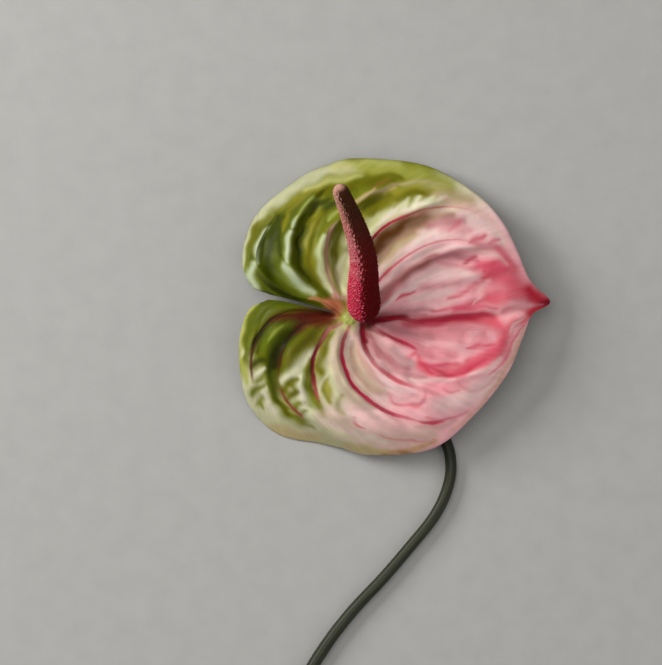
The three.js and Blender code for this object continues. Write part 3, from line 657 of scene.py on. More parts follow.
    ("deep_crimson", 1.5, 0.9, [(75.2, 5.9), (78.2, 6.5), (80.9, 7.1)]),
    ("mid_pink", 0.8, 0.65, [(68, 3.8), (72.9, 5.6), (77.5, 6.1)]),
    ("shell_pink", 2, 0.7, [(64.2, 5.4), (68, 5.9), (71.8, 5.6)]),
    # midrib
    ("dusty_rose", 1.7, 0.85, [(11, 1.6), (17.1, 3.3), (24.6, 3.5), (32.9, 3.3)]),
    ("rose", 1.3, 0.75, [(32.9, 3.1), (42, 4.4), (50.3, 4.2), (57.8, 5.1)]),
    ("blush", 0.5, 0.65, [(21.6, 4.1), (30.6, 5.4), (38.2, 6.1), (45.8, 8.8)]),
    ("maroon", 1.9, 0.95, [(5.7, -1.4), (11.8, 0.1), (17.1, 0.7), (22, 1.2)]),
    ("dusty_rose", 1.2, 0.6, [(22.3, 1.6), (26.1, 1.4), (29.9, 1.2)]),
    ("crimson_rose", 2.6, 0.98, [
        (22, -2.2), (29.1, -1.7), (36.7, -0.9), (44.2, -0.2), (51.8, 0.3), (57.1, -0.2)]),
    ("crimson", 1.5, 0.75, [(37.4, -0.5), (45.8, 0.6), (54.1, 0.9)]),
    # bowl
    ("mid_pink", 5, 0.75, [(19.7, -5.3), (32.6, -7.8), (45.4, -8.7), (54, -7)]),
    ("shell_pink", 3.6, 0.6, [(30, -10.8), (38.6, -11.7), (47.1, -11.7)]),
    ("mid_pink", 2.2, 0.7, [(31.7, -5.3), (40.3, -4.4), (48.8, -3.5)]),
    ("dusty_rose", 2.3, 0.9, [(13.3, -2.5), (19.7, -5.1), (26.6, -6.8), (32.6, -7.7)]),
    ("mid_pink", 2.2, 0.8, [(18.9, -8.7), (26.6, -11.4), (31.7, -14.3)]),
    ("mid_pink", 2.2, 0.6, [(28.3, -14.9), (35.1, -14.9), (42, -14.3)]),
    ("shell_pink", 1.8, 0.7, [(30.9, -10), (36.9, -10.8), (42.8, -11.4), (47.1, -13.4)]),
    ("shell_pink", 1, 0.6, [(36.9, -9.1), (40.3, -10), (43.3, -12.5)]),
    ("coral_rose", 3.5, 0.98, [
        (53.1, 0.3), (58.4, -2.3), (61, -7), (59.6, -11.7), (55.3, -15.4), (49.7, -18.3)]),
    ("coral_rose", 3, 0.98, [(52.3, -17.4), (44.6, -20.3), (38.6, -21.7), (32.6, -21.4), (27.9, -19)]),
    ("rose", 1.7, 0.7, [(28.3, -18.1), (34.3, -18.5), (42, -18.1)]),
    ("crimson_rose", 0.7, 0.7, [(27.9, -16.8), (30.4, -19.7), (32.6, -22)]),
    ("crimson_rose", 0.7, 0.6, [(32.6, -19), (35.6, -21.1), (38.6, -22.4)]),
    ("crimson_rose", 0.7, 0.6, [(19.7, -17.3), (22.3, -19.1), (24.4, -20.7)]),
    ("crimson_rose", 0.9, 0.85, [(34.3, -23), (42, -21.8), (48.8, -19.1), (54.4, -16)]),
    ("rose", 1.1, 0.75, [(46.3, -11.4), (52.3, -10.8), (57.8, -10)]),
    ("shell_pink", 1.4, 0.85, [(46.7, -8.9), (48.8, -6.5), (51, -5.4)]),
    ("shell_pink", 1.3, 0.85, [(54.7, -5.1), (56.3, -6.3), (57.6, -7.7)]),
    ("dusty_rose", 3, 0.42, [(40.3, -4.4), (48.8, -4.4), (57.4, -5.3)]),
    ("rose", 2.2, 0.55, [(60.4, -9.1), (55.5, -14.9), (49.7, -17.9), (43.7, -20.3)]),
    ("mid_pink", 0.8, 0.7, [(53.1, -4.2), (54.2, -7.7), (52.4, -10.6)]),
    ("rose", 1.5, 0.8, [(26.1, -13.4), (23.6, -15.4), (19.7, -16)]),
    ("rose", 1.4, 0.7, [(27, -14.3), (28.3, -17.3), (31.7, -19)]),
    # painted shade: brown rose right of the low_5 vein, below the spadix's foot
    ("brown_rose", 2.2, 0.95, [(5.6, -3.1), (8.1, -7.4), (11.1, -11.3), (15.4, -15.7), (22.3, -19.4)]),
    ("blush", 0.9, 0.45, [(8.7, -4.6), (13, -8.9), (17.6, -13.1)]),
    ("dusty_rose", 1.8, 0.8, [(6.4, -8.7), (9, -11.3), (12, -14.9)]),
    ("dusk_rose", 2.2, 0.75, [(9.9, -7), (12.4, -9.5), (16.5, -13.8), (21.4, -18.1)]),
    # painted shade at the spadix's foot
    ("brown_rose", 1.3, 0.8, [(6.9, -2.5), (9.6, -4.6), (13.3, -6.8)]),
    ("dusk_rose", 2.3, 0.85, [(17.1, -11.4), (21, -15.4), (25.3, -18.8)]),
    ("dusty_rose", 2, 0.7, [(20.1, -5.3), (24.9, -8.3), (29.1, -10.8)]),
    ("rose", 1.8, 0.6, [(46.3, -16.8), (51.8, -14.3), (57, -11.7)]),
    ("mid_pink", 1.6, 0.6, [(31.3, -11.9), (36.9, -13), (42, -15.7)]),
    ("rose", 1.3, 0.6, [(29.6, -17.1), (33.4, -18.5), (38.6, -18.1)]),
    ("dusk_rose", 2, 0.6, [(13.3, -18.1), (18.9, -21.5), (24, -24.3)]),
    ("dusty_rose", 2, 0.75, [(11.1, -13), (17.6, -18.5), (23.1, -21.7), (29.1, -23.4)]),
    ("pale_pink", 1.2, 0.8, [(24, -23.3), (32.6, -24.6), (42.8, -23.8)]),
    # under the bowl
    ("mid_pink", 3.4, 0.6, [(30.9, -28), (38.6, -27.7), (45.4, -26.7)]),
    ("pale_pink", 3.4, 0.9, [(38.6, -33.1), (47.1, -30.5), (54.8, -26.3), (60, -20.7)]),
    ("shell_pink", 3.6, 0.75, [(30.9, -34.4), (41.1, -35.2), (50.6, -31.8)]),
    ("blush", 2.8, 0.55, [(1.7, -35.2), (9.4, -40.4), (19.7, -44), (30.9, -44.2)]),
    ("dusk", 1.6, 0.45, [(26.6, -43), (34.3, -43), (42, -40.4)]),
    ("dusk", 2, 0.4, [(-0.9, -30.1), (4.3, -35.2), (11.1, -39.1)]),
    ("shell_pink", 2.6, 0.75, [(16.7, -30.1), (23.1, -32.3), (28.7, -33.1)]),
    ("dusk", 4, 0.75, [(1.5, -4.4), (2.1, -12.1), (3.9, -19), (7.7, -25), (12.9, -29.3)]),
    ("cream_pink", 0.9, 0.8, [(0.7, -3.5), (-0.5, -9.1), (-0.9, -15.5)]),
    ("taupe", 1.6, 0.4, [(0.2, -11.3), (1.7, -19.1), (6, -26), (11.6, -30.3)]),
    ("dusty_tan", 1.2, 0.6, [(3, -8.7), (4.7, -15.5), (8.6, -21.5), (13.7, -26.7)]),
    ("tan_cream", 1.4, 0.7, [(1.7, -9.5), (3.3, -17.3), (7.3, -24.1), (12.9, -28.8)]),
    ("rose", 0.9, 0.6, [
        (15.4, -29.3), (16.7, -32.7), (21.4, -34.4), (27.4, -34.2), (29.6, -31.8), (29.3, -29.3)]),
    ("pale_pink", 1.3, 0.5, [(18.4, -27.5), (22.3, -28), (25.7, -29.3)]),
    ("rose", 0.5, 0.55, [(35.8, -26.7), (39.4, -28.8), (43.3, -28.4)]),
    ("rose", 0.8, 0.35, [
        (42.7, -23.3), (43.9, -27.1), (48.4, -28.7), (53.1, -27.4), (57.8, -23.1), (62.6, -17.3)]),
    ("coral_rose", 1, 0.75, [(55.3, -22), (60.8, -17.4), (64.4, -11.4), (67, -5.4), (69.8, -1.7)]),
    ("pale_pink", 1.2, 0.75, [(46.7, -22), (54, -20), (59.6, -15.7)]),
    ("coral_rose", 2, 0.8, [(62.6, -3.5), (66, -1.1), (69.8, -0.1)]),
    ("blush", 0.6, 0.75, [(62.6, -6.5), (65.3, -2), (68.7, 0.7)]),
    ("pale_pink", 2.6, 0.7, [(33.9, -34.6), (42, -33.7), (48.8, -31.4), (55.3, -28)]),
    ("blush", 1.1, 0.8, [(54.4, -32), (59.8, -24.3), (63.6, -16.8), (66.4, -10), (68.4, -4.4)]),
    ("tan_pink", 1.1, 0.8, [
        (69.6, -2.9), (67, -10.6), (62.7, -19.1), (55.9, -29.4), (47.3, -38.8), (38.7, -46.6)]),
    ("tan_cream", 3.6, 0.6, [(-1.7, -41.7), (7.7, -46.6), (19.7, -48.5), (32.6, -46.4)]),
    ("shell_white", 1.5, 0.5, [(1.7, -44.8), (6, -47.2), (13.7, -48.8)]),
    ("rose", 1, 0.45, [(30, -39.4), (33, -40.6), (36.9, -40.4)]),
    ("crimson_rose", 0.5, 0.75, [(1.5, -38.7), (2.4, -41.7), (5.3, -43.1)]),
    ("rose", 0.5, 0.55, [(11.1, -46.4), (18, -48.1), (26.6, -48.6), (33.9, -47.9)]),
    # lower lobe
    ("moss", 2.8, 0.85, [(-37.4, 3.8), (-40, -2.4), (-41.5, -9.3), (-41.6, -16.5)]),
    ("straw", 1.4, 0.85, [(-37.4, 5.9), (-41.6, 1.5), (-43.6, -4.7), (-44.2, -11.3), (-44.3, -17.1)]),
    ("moss", 1.8, 0.85, [(-19.1, 3.2), (-27, 4.3), (-34.1, 3), (-38.1, -0.8)]),
    # painted light: the duller rim cream makes up for the window light falling full on this rim
    ("rim_cream", 3, 0.95, [(-42.3, -27.6), (-40.3, -34.1), (-36.1, -39.7), (-29.6, -44.2)]),
    ("olive_yellow", 1.8, 0.85, [(-43.4, -16.5), (-42.5, -21), (-41.2, -25.3)]),
    ("cream", 1.1, 0.6, [(-43.6, -12.6), (-43.4, -15.2)]),
    ("cream", 2.3, 0.9, [(-34.8, -26.9), (-31.9, -33.5), (-28.3, -39.3), (-21.7, -43.6)]),
    ("forest", 1.6, 0.75, [(-25.7, -0.8), (-30.9, -2.2), (-35.1, -7.3), (-37.4, -13.2)]),
    ("leaf", 2.2, 0.9, [(-24.7, -2.4), (-28.9, -4.4), (-32.2, -8), (-34.5, -11.9)]),
    ("light_green", 0.8, 0.45, [(-26.3, -2.9), (-29.9, -5.4), (-32.5, -8.6)]),
    ("forest", 2.4, 0.97, [
        (-19.1, -3.5), (-24, -6.7), (-27.9, -10.9), (-30.7, -15.5), (-31.9, -20.1), (-32.1, -25.9)]),
    ("black_olive", 1.2, 0.85, [(-38.8, -12.9), (-37.7, -8.8), (-35.4, -5.9)]),
    # painted shade: this black olive patch is the shade on the slope left of the low_2 vein
    ("black_olive", 2, 0.9, [(-30.5, -19.4), (-29.2, -15.2), (-27, -11.3)]),
    ("olive_green", 3, 0.97, [
        (-31.2, -26.9), (-28.6, -32.8), (-25.3, -36.4), (-21.4, -39.7), (-19.4, -41)]),
    ("forest", 1.6, 0.7, [(-31.8, -25), (-30.4, -29.5), (-28.6, -33.5)]),
    ("dark_olive", 1.2, 0.8, [(-28.6, -34.1), (-26, -36.1), (-24, -38.7)]),
    ("straw", 0.8, 0.7, [(-27.6, -31.5), (-25.3, -34.1)]),
    ("straw", 0.8, 0.7, [(-24.3, -36.4), (-21.7, -38.4)]),
    ("forest", 1.9, 0.95, [(-39.7, -19.1), (-37.4, -17.1), (-34.1, -16.6)]),
    ("moss", 2, 0.97, [(-39.2, -30.5), (-37.7, -28.6), (-34.7, -26.9)]),
    ("pale_cream", 1, 0.95, [(-38.4, -22.4), (-36, -21.2), (-33.6, -19.9)]),
    ("olive_green", 0.9, 0.85, [(-38.7, -25), (-36.4, -24), (-34.1, -22.5)]),
    ("pale_cream", 0.9, 0.8, [(-35.6, -30.2), (-33.8, -28.4), (-33, -27.1)]),
    ("olive_green", 1.3, 0.9, [(-37.3, -34.1), (-35.4, -32.3), (-32.7, -31.4)]),
    ("olive_green", 1.1, 0.85, [(-34.8, -36.4), (-35.6, -34.9), (-36.4, -33.5)]),
    ("dark_olive", 3, 0.95, [(-11.9, -4.1), (-17.2, -7.7), (-21.4, -11.9), (-25.3, -17.1)]),
    ("olive", 1.3, 0.7, [(-10, -5.2), (-14.2, -8.8), (-18.5, -13.9), (-22.4, -17.5)]),
    ("pale_cream", 2.3, 0.97, [(-14.2, -12.2), (-18.5, -16.8), (-22.7, -21.4), (-27, -24.6)]),
    ("pale_cream", 2.9, 0.97, [(-19.3, -23.3), (-19.4, -30.8), (-17.3, -37)]),
    ("cream", 1.2, 0.85, [(-26, -26.3), (-23.4, -30.2), (-21.1, -33.8)]),
    ("dark_olive", 1.7, 0.97, [(-26.4, -28.6), (-24.7, -25.9), (-21.1, -24.3)]),
    ("dark_olive", 1.8, 0.97, [(-24.7, -32.3), (-23.3, -30.5), (-20.8, -29.2)]),
    ("olive_green", 1.5, 0.95, [(-22.1, -36.4), (-20.9, -33.9), (-18.3, -32.8)]),
    ("olive_green", 1.2, 0.88, [(-19.8, -39), (-18.3, -37.2), (-16.6, -36.4)]),
    ("olive_green", 1.9, 0.97, [
        (-15.9, -16.5), (-16.8, -22.4), (-16.4, -27.6), (-14, -33.5), (-10, -38)]),
    ("forest", 0.9, 0.8, [(-15.1, -17.1), (-15.5, -23), (-14.9, -28.2), (-12.9, -33.5)]),
    ("light_green", 0.6, 0.75, [(-18.3, -19.7), (-18.5, -25), (-17, -30.8), (-13.6, -36.9)]),
    ("olive", 2.5, 0.95, [(-7.7, -4.7), (-10.5, -10.3), (-11.8, -15.8), (-11.9, -21.7)]),
    ("dark_olive", 2, 0.9, [(-8.2, -6), (-10.2, -11.3), (-11.6, -16.5), (-12.5, -21)]),
    ("ochre", 1.9, 0.95, [(-9.3, -24.3), (-9.1, -28.6), (-8, -32.5)]),
    ("olive", 0.8, 0.7, [(-10.3, -26.9), (-10.1, -30.2), (-8.7, -32.8)]),
    ("cream", 0.8, 0.9, [(-8, -18.8), (-10.2, -23.7), (-11.5, -27.6), (-11.9, -31.2)]),
    ("cream", 0.9, 0.85, [(-8, -19.1), (-7.2, -23.7), (-6.4, -28.9)]),
    ("tan_cream", 2.3, 0.95, [(-4, -5.5), (-5.8, -11.3), (-5.8, -17.8), (-4.4, -23.3)]),
    ("tan_cream", 2.2, 0.85, [(-5.4, -22.7), (-2.1, -27.9), (2.6, -31.6), (8.3, -34.4)]),
    ("tan_cream", 3, 0.7, [(-10.6, -38), (-6.7, -40), (-1.5, -40.6)]),
    ("olive", 1.4, 0.55, [(-2.7, -30.2), (-4.8, -33.5), (-4.6, -36.2), (-2.8, -37.8)]),
    ("cream", 1.8, 0.8, [(-13.6, -44.2), (-6.7, -45.1), (0.5, -47.2)]),
    ("olive", 0.7, 0.65, [(-19.1, -42.1), (-15.9, -42.7), (-14.2, -43.9)]),
    ("shell_white", 1.6, 0.6, [(-34.1, -30.2), (-32.5, -34.1), (-30.5, -38)]),
    ("shell_white", 1.2, 0.6, [(-18.5, -26.9), (-19.1, -30.2), (-18.5, -33.5)]),
    ("black_olive", 0.9, 0.6, [(-26.4, -11.3), (-28.1, -15.2), (-28.9, -19.1)]),
    # rim of the lower lobe
    ("tan", 2.9, 0.92, [(-31.9, -43.9), (-26.3, -46), (-19.1, -47.4), (-11.3, -48.1)]),
    ("straw_tan", 2.6, 0.9, [(-11.3, -48.8), (-2.8, -50.3), (5, -52.3), (12.2, -54)]),
    ("tan", 2.4, 0.9, [(-0.9, -51.5), (6.9, -52.6), (15, -53.1)]),
    ("amber_tan", 1.6, 0.88, [(13.3, -54.3), (19.7, -53.8), (26.7, -51.7), (34.7, -49)]),
    ("umber", 0.7, 0.6, [(20.1, -53.9), (22.3, -53.2), (24.4, -52.7)]),
    # joint
    ("maroon_brown", 3.2, 0.97, [(-5.4, 1.8), (-10.6, 1.8), (-15.2, 1.4), (-19.8, 1)]),
    ("maroon_brown", 1.9, 0.75, [(-16.5, 1.2), (-22.4, 1.2), (-27.6, 0.7), (-31.9, -0.5)]),
    ("maroon_brown", 2.4, 0.85, [(-6.4, 0.5), (-11.9, -0.3), (-17.5, -1.8), (-21.1, -4.1)]),
    ("maroon_brown", 1.4, 0.6, [(-8, -1.5), (-11.3, -2.2), (-13.9, -3.5)]),
    ("moss", 1, 0.8, [(-10.6, 5.1), (-16.5, 5.7), (-21.1, 6)]),
    ("amber", 2.6, 0.97, [(-8, 6.4), (-5.1, 4.7), (-4.8, 1.8)]),
    ("amber", 0.9, 0.6, [(-16.5, 7.9), (-13.2, 7.7), (-9.3, 7)]),
    ("amber", 2, 0.8, [(-9.7, 6.9), (-7.7, 6.6), (-5.1, 5.5)]),
    ("dusty_tan", 1.4, 0.75, [(-7.2, 9.8), (-4.8, 9.2), (-2.1, 7.6)]),
    ("straw_tan", 2, 0.7, [(-3.6, -2.4), (-1.5, -4.4), (1.4, -4.1)]),
    ("knob_green", 3.4, 0.97, [(-1.2, 1), (-0.4, -0.2), (0.6, -0.5)]),
    # painted shadow: the dark umber patch right of the knob is the shadow under the spadix's foot
    ("spadix_shadow_umber", 2, 0.95, [(4.4, -1.8), (6.7, -2.9), (9.3, -1.8)]),
    ("maroon", 1.4, 0.97, [(5.2, -3.1), (5.4, -6.7), (6.2, -9.6)]),
    ("maroon", 1.4, 0.95, [(8.3, -0.9), (11.9, -0.5), (17.4, -0.3)]),
]
END_WIDTH = 0.25
END_WIDTH_PER_MM = 0.2
END_WIDTH_MOST = 0.8
SOFTNESS = 2.2
STREAK_STRENGTH = 0.028
STREAKS_START = (0.1, 0.3)
WAVES_A_LINE = 12
WAVES_OUTWARD = 9
PALE_RIM = 0.4
PALE_RIM_REACH = (0.55, 0.85)
WASH_WAVES = 0.02
PALER_A_MM = 0.0025
PALER_WITHIN = 60
EDGE_WANDER = 0.3
BLUE_TAKEN = 0.6
GREEN_TO_RED = (0.5, 0.9)
DENSE_TO_PALE = (0.1, 0.4)

# How pink the blade is at some of its lines, and which of them lie on its lower side.
pinkness = by_line([0, 6, 7, 8, 9, 10, 16, 17, 18, 19, 20, 26],
                   [0, 0.05, 0.3, 0.55, 0.8, 1, 1, 0.8, 0.5, 0.2, 0, 0])
lower_side = by_line([0, 1.5, 3, 9, 11], [0, 0, 1, 1, 0])
wash = pinkness + PALE_RIM * lower_side * smooth_step(*PALE_RIM_REACH, out)
wash = wash + WASH_WAVES * ripples(x, y, period=9, seed=21)
petal = ramp(np.clip(wash, 0, 1), [
    (0, "moss"), (0.2, "olive_green"), (0.42, "cream"), (0.7, "pale_pink"), (1, "shell_pink")])
# Painted light: paler towards the tip and darker on the lobes, which the window light favours.
petal *= 1 + PALER_A_MM * np.clip(x, -PALER_WITHIN, PALER_WITHIN)[..., None]

wander_x = x + EDGE_WANDER * ripples(x, y, period=9, seed=5)
wander_y = y + EDGE_WANDER * ripples(x, y, period=9, seed=6)
for paint, half_width, strength, places in STROKES:
    _, distance, share = stroke_distance(places, wander_x, wander_y)
    end_width = min(END_WIDTH + END_WIDTH_PER_MM * half_width, END_WIDTH_MOST)
    taper = end_width + (1 - end_width) * np.sin(np.pi * share / (len(places) - 1))
    cover = strength * np.exp(-((distance / (half_width * taper)) ** SOFTNESS))[..., None]
    petal += cover * (paints[paint] - petal)
# Leaf green takes nearly all the blue out of the light, the more so where it is dense.
green_share = smooth_step(*GREEN_TO_RED, petal[..., 1] / petal[..., 0])
dense_green = green_share * (1 - smooth_step(*DENSE_TO_PALE, petal[..., 1]))
petal[..., 2] *= 1 - BLUE_TAKEN * dense_green
# The streaks' waves are short across the lines and long outward.
across_fibres, along_fibres = np.broadcast_arrays(WAVES_A_LINE * line_number[None], WAVES_OUTWARD * out)
streaks = ripples(across_fibres, along_fibres, period=2.4, seed=22)
petal *= 1 + STREAK_STRENGTH * smooth_step(*STREAKS_START, out)[..., None] * streaks[..., None]
print(len(STROKES), "strokes")

# %% [markdown]
# A drawn vein changes colour on its way out, from nearly black in the green of the lobes to crimson and
# rose. Its pigment also bleeds a little way into the tissue beside it, which is the faint stain here.

# %% The drawn veins
# paints from the joint outward, half width in mm, and the places: x, y and how strongly the vein is
# drawn there
VEINS = {
    "low_1": (["maroon_brown", "black_olive", "maroon_brown"], 0.6, [
        (-8, 2.5, 0.3), (-17.8, 1.8, 0.7), (-27.6, 1.2, 0.9), (-32.2, -1.1, 1), (-35.8, -5.7, 1),
        (-38.4, -10.6, 1), (-39.5, -16.5, 0.9), (-39.2, -22.4, 0.7), (-38.6, -26.3, 0)]),
    "low_2": (["maroon_brown", "black_olive", "maroon", "crimson"], 0.6, [
        (-7.4, 1.2, 0.6), (-13.2, -0.8, 1), (-17.8, -1.8, 1), (-21.7, -4.7, 1), (-25, -8.3, 1),
        (-27, -12.6, 0.9), (-27.9, -17.1, 0.8), (-28.5, -21.7, 0.45), (-28.5, -25.6, 0.15),
        (-27.6, -28.2, 0.5), (-25.7, -32.2, 0.75), (-22.7, -35.7, 0.7), (-19.8, -38.4, 0.7),
        (-18.1, -39.7, 0)]),
    "low_3": (["brown_rose", "maroon", "maroon", "crimson_rose"], 0.75, [
        (-4.8, -2.4, 0.7), (-8.7, -4.4, 0.95), (-11, -8, 0.9), (-13.2, -11.9, 1), (-14.6, -15.8, 1),
        (-14.9, -21, 1), (-14.2, -25.6, 0.9), (-13.2, -30.2, 0.7), (-11.6, -34.4, 0)]),
    "low_4": (["wine", "rose_red"], 0.75, [
        (-0.7, -4.1, 0.5), (-2.5, -8, 0.8), (-3.3, -12.6, 0.9), (-2.8, -17.1, 1), (-1.5, -21, 1),
        (0.8, -25.9, 1), (5, -30.2, 1), (11.6, -35.2, 0.9), (17.1, -37.8, 0.85), (23.1, -39.5, 0.55),
        (26.6, -40.6, 0.3), (29.1, -41.2, 0.7), (33.4, -41.4, 0.9), (37.7, -40.2, 0.5),
        (45.4, -37.8, 0.3), (49.7, -34.4, 0)]),
    "low_5": (["maroon", "crimson", "coral_rose", "coral_rose"], 0.95, [
        (5, -2.3, 0.9), (5, -6.1, 1), (5.8, -10.8, 0.85), (7.9, -15.1, 0.6), (10.7, -18.8, 0.6),
        (15, -22.2, 0.8), (19.7, -25, 0.85), (24, -26.5, 0.5), (28.3, -27.5, 0)]),
    "bowl": (["crimson", "rose_red"], 0.7, [
        (10.3, -3.5, 0.4), (15.4, -6.8, 0.8), (20.6, -9.1, 0.9), (25.3, -11.4, 0.8), (27, -13, 0)]),
    "midrib": (["maroon", "crimson", "crimson_rose", "crimson_rose"], 1, [
        (8, -1.1, 1), (14, -0.2, 1), (20.1, 0.3, 0.8), (24.6, -0.7, 0.6), (30.6, -0.8, 0.6),
        (38.2, 0.3, 0.8), (45.8, 1.2, 0.8), (52.5, 1.6, 0.7), (57.1, 1.2, 0)]),
    "high_4": (["maroon", "wine", "rose", "mid_pink"], 0.55, [
        (6.9, 29.1, 0.9), (9.5, 32.5, 1), (12.5, 35.6, 1), (17.1, 38.6, 0.95), (23.1, 41.1, 0.75),
        (29.1, 43.3, 0.4), (35.9, 44.4, 0.6), (41.2, 44.5, 0.3), (47.3, 43.5, 0.25), (53.3, 40.8, 0)]),
    "high_5": (["rose_red", "mid_pink"], 0.55, [
        (11, 14.8, 0.85), (15.6, 19.5, 0.85), (20.1, 23.2, 0.75), (25.4, 26.7, 0.65), (30.6, 29.3, 0.6),
        (36.7, 30.9, 0.6), (43.5, 31.4, 0.5), (50.3, 30.3, 0)]),
    "high_3": (["dusty_rose", "dusty_tan"], 0.6, [
        (-5.7, 9.8, 0.7), (-7.9, 15.4, 0.55), (-9.3, 21.9, 0.6), (-9.3, 28.4, 0.7), (-7.7, 34.9, 0.8),
        (-4.4, 39.5, 0)]),
}

VEIN_LEAST_WIDTH = 0.45
VEIN_STAIN = 0.3
VEIN_STAIN_REACH = 1.7
VEIN_FADES = (2.2, 4.5)
FAR_OFF = 1e3
vein_offset = np.full(x.shape, VEIN_FADES[1] * 2)
vein_strength = np.zeros(x.shape)
vein_tone = np.zeros((*x.shape, 3))
vein_away = np.full(x.shape, FAR_OFF)
for tones, half_width, places in VEINS.values():
    side, distance, share = stroke_distance(np.array(places), x, y)
    strength = np.interp(share, np.arange(len(places)), [place[2] for place in places])
    width = half_width * (VEIN_LEAST_WIDTH + (1 - VEIN_LEAST_WIDTH) * strength)
    strength = strength * (1 - smooth_step(*VEIN_FADES, distance / width))
    stops = zip(np.linspace(0, len(places) - 1, len(tones)), tones)
    tone = ramp(share, list(stops))
    stain = (VEIN_STAIN * strength * np.exp(-((distance / VEIN_STAIN_REACH) ** 2)))[..., None]
    petal += stain * (tone - petal)
    closer = distance < vein_away
    vein_offset = np.where(closer, side / width, vein_offset)
    vein_strength = np.where(closer, strength, vein_strength)
    vein_tone[closer] = tone[closer]
    vein_away = np.minimum(vein_away, distance)
print(len(VEINS), "drawn veins")

# %% Handing the colours to the mesh
def per_point(grid):
    """The grid's values for each point of the closed mesh, the same on both faces."""
    return grid.reshape(rows * columns, *grid.shape[2:])[place]


on_blade = {
    "petal": np.clip(per_point(petal), 0, 1), "vein_offset": per_point(vein_offset),
    "vein_strength": per_point(vein_strength), "vein_tone": per_point(vein_tone), "underside": is_lower}
for name, values in on_blade.items():
    add_attribute(spathe, name, values)
print("stored on the blade:", list(on_blade))

# %% [markdown]
# The blade's skin is a thick wax over living tissue. The wax gives broad soft highlights, a coat over
# rough colour rather than a mirror, and a little light passes through the tissue and comes out again
# warmer. The deep green furrows hold less wax than the swollen tissue, and are duller. Under the wax
# lies a net of small veins 3 mm or so across, felt as faint dents. The underside is paler and has less
# red. A crimson vein is drawn in the shader, where the offset from its middle passes through 0, so that
# its edge stays finer than the mesh. The speckle of the wax is drawn coarser than life, so that it shows.

# %% Waxy petal: satin gloss from the wax, soft light from the tissue under it
NET_CELL = 3.0
NET_LINE = 0.09
SPECKLE = 0.5
CLOUD = 4.0
FRAY = 1.2
VEIN_EDGE = (1.15, 2.15)
NET_DENT = -0.6
VEIN_DENT = -3.0
UNDERSIDE = "#b3b083"
UNDERSIDE_SHARE = 0.55

waxy_petal, tree = new_material("waxy_petal")
object_place = add_node(tree, "ShaderNodeTexCoord").outputs["Object"]
stored = {name: add_node(tree, "ShaderNodeAttribute", {"attribute_name": name}) for name in on_blade}

flake = add_node(tree, "ShaderNodeTexNoise", Vector=object_place, Scale=1 / (SPECKLE * MM), Detail=2.0)
cloud = add_node(tree, "ShaderNodeTexNoise", Vector=object_place, Scale=1 / (CLOUD * MM), Detail=3.0)
net = add_node(tree, "ShaderNodeTexVoronoi", {"feature": "DISTANCE_TO_EDGE"}, Vector=object_place,
               Scale=1 / (NET_CELL * MM))
net_line = add_node(tree, "ShaderNodeMapRange", {"interpolation_type": "SMOOTHSTEP"},
                    Value=net.outputs[0], From_Max=NET_LINE, To_Min=1.0, To_Max=0.0)
mottle = add_node(tree, "ShaderNodeMapRange", Value=cloud.outputs[0], **NOISE_MIDDLE,
                  To_Min=0.95, To_Max=1.05)
mottled = add_node(tree, "ShaderNodeVectorMath", {"operation": "SCALE"},
                   Vector=stored["petal"].outputs["Color"], Scale=mottle.outputs[0])

from_middle = add_node(tree, "ShaderNodeMath", {"operation": "ABSOLUTE"},
                       _0=stored["vein_offset"].outputs["Fac"])
frayed = add_node(tree, "ShaderNodeMath", {"operation": "MULTIPLY_ADD"},
                  _0=cloud.outputs[0], _1=FRAY, _2=from_middle.outputs[0])
line_cover = add_node(tree, "ShaderNodeMapRange", {"interpolation_type": "SMOOTHSTEP"},
                      Value=frayed.outputs[0], From_Min=VEIN_EDGE[0], From_Max=VEIN_EDGE[1],
                      To_Min=1.0, To_Max=0.0)
vein_cover = add_node(tree, "ShaderNodeMath", {"operation": "MULTIPLY"},
                      _0=line_cover.outputs[0], _1=stored["vein_strength"].outputs["Fac"])
veined = add_node(tree, "ShaderNodeMix", {"data_type": "RGBA"}, _0=vein_cover.outputs[0],
                  _6=mottled.outputs[0], _7=stored["vein_tone"].outputs["Color"])
under_tint = add_node(tree, "ShaderNodeMix", {"data_type": "RGBA"}, _0=UNDERSIDE_SHARE,
                      _6=mottled.outputs[0], _7=(*linear(UNDERSIDE), 1))
skin = add_node(tree, "ShaderNodeMix", {"data_type": "RGBA"}, _0=stored["underside"].outputs["Fac"],
                _6=veined.outputs[2], _7=under_tint.outputs[2])
flake_rough = add_node(tree, "ShaderNodeMapRange", Value=flake.outputs[0], **NOISE_MIDDLE,
                       To_Min=0.31, To_Max=0.41)
lightness = add_node(tree, "ShaderNodeRGBToBW", Color=stored["petal"].outputs["Color"])
dullness = add_node(tree, "ShaderNodeMapRange", Value=lightness.outputs[0], From_Min=0.05, From_Max=0.22,
                    To_Min=0.24, To_Max=0.0)
skin_rough = add_node(tree, "ShaderNodeMath", {"operation": "ADD"},
                      _0=flake_rough.outputs[0], _1=dullness.outputs[0])
dent = add_node(tree, "ShaderNodeMath", {"operation": "MULTIPLY_ADD"},
                _0=net_line.outputs[0], _1=NET_DENT, _2=flake.outputs[0])
furrow = add_node(tree, "ShaderNodeMath", {"operation": "MULTIPLY_ADD"},
                  _0=vein_cover.outputs[0], _1=VEIN_DENT, _2=dent.outputs[0])
wax_bump = add_node(tree, "ShaderNodeBump", Strength=0.35, Distance=0.12 * MM, Height=furrow.outputs[0])
petal_skin = add_node(tree, "ShaderNodeBsdfPrincipled", Base_Color=skin.outputs[2],
                      Roughness=skin_rough.outputs[0], IOR=1.45, Specular_IOR_Level=0.08,
                      Normal=wax_bump.outputs[0], Subsurface_Weight=0.1, Subsurface_Scale=1.2 * MM,
                      Subsurface_Radius=(1.0, 0.5, 0.3), Coat_Weight=0.04, Coat_Roughness=0.25)
add_node(tree, "ShaderNodeOutputMaterial", Surface=petal_skin.outputs[0])
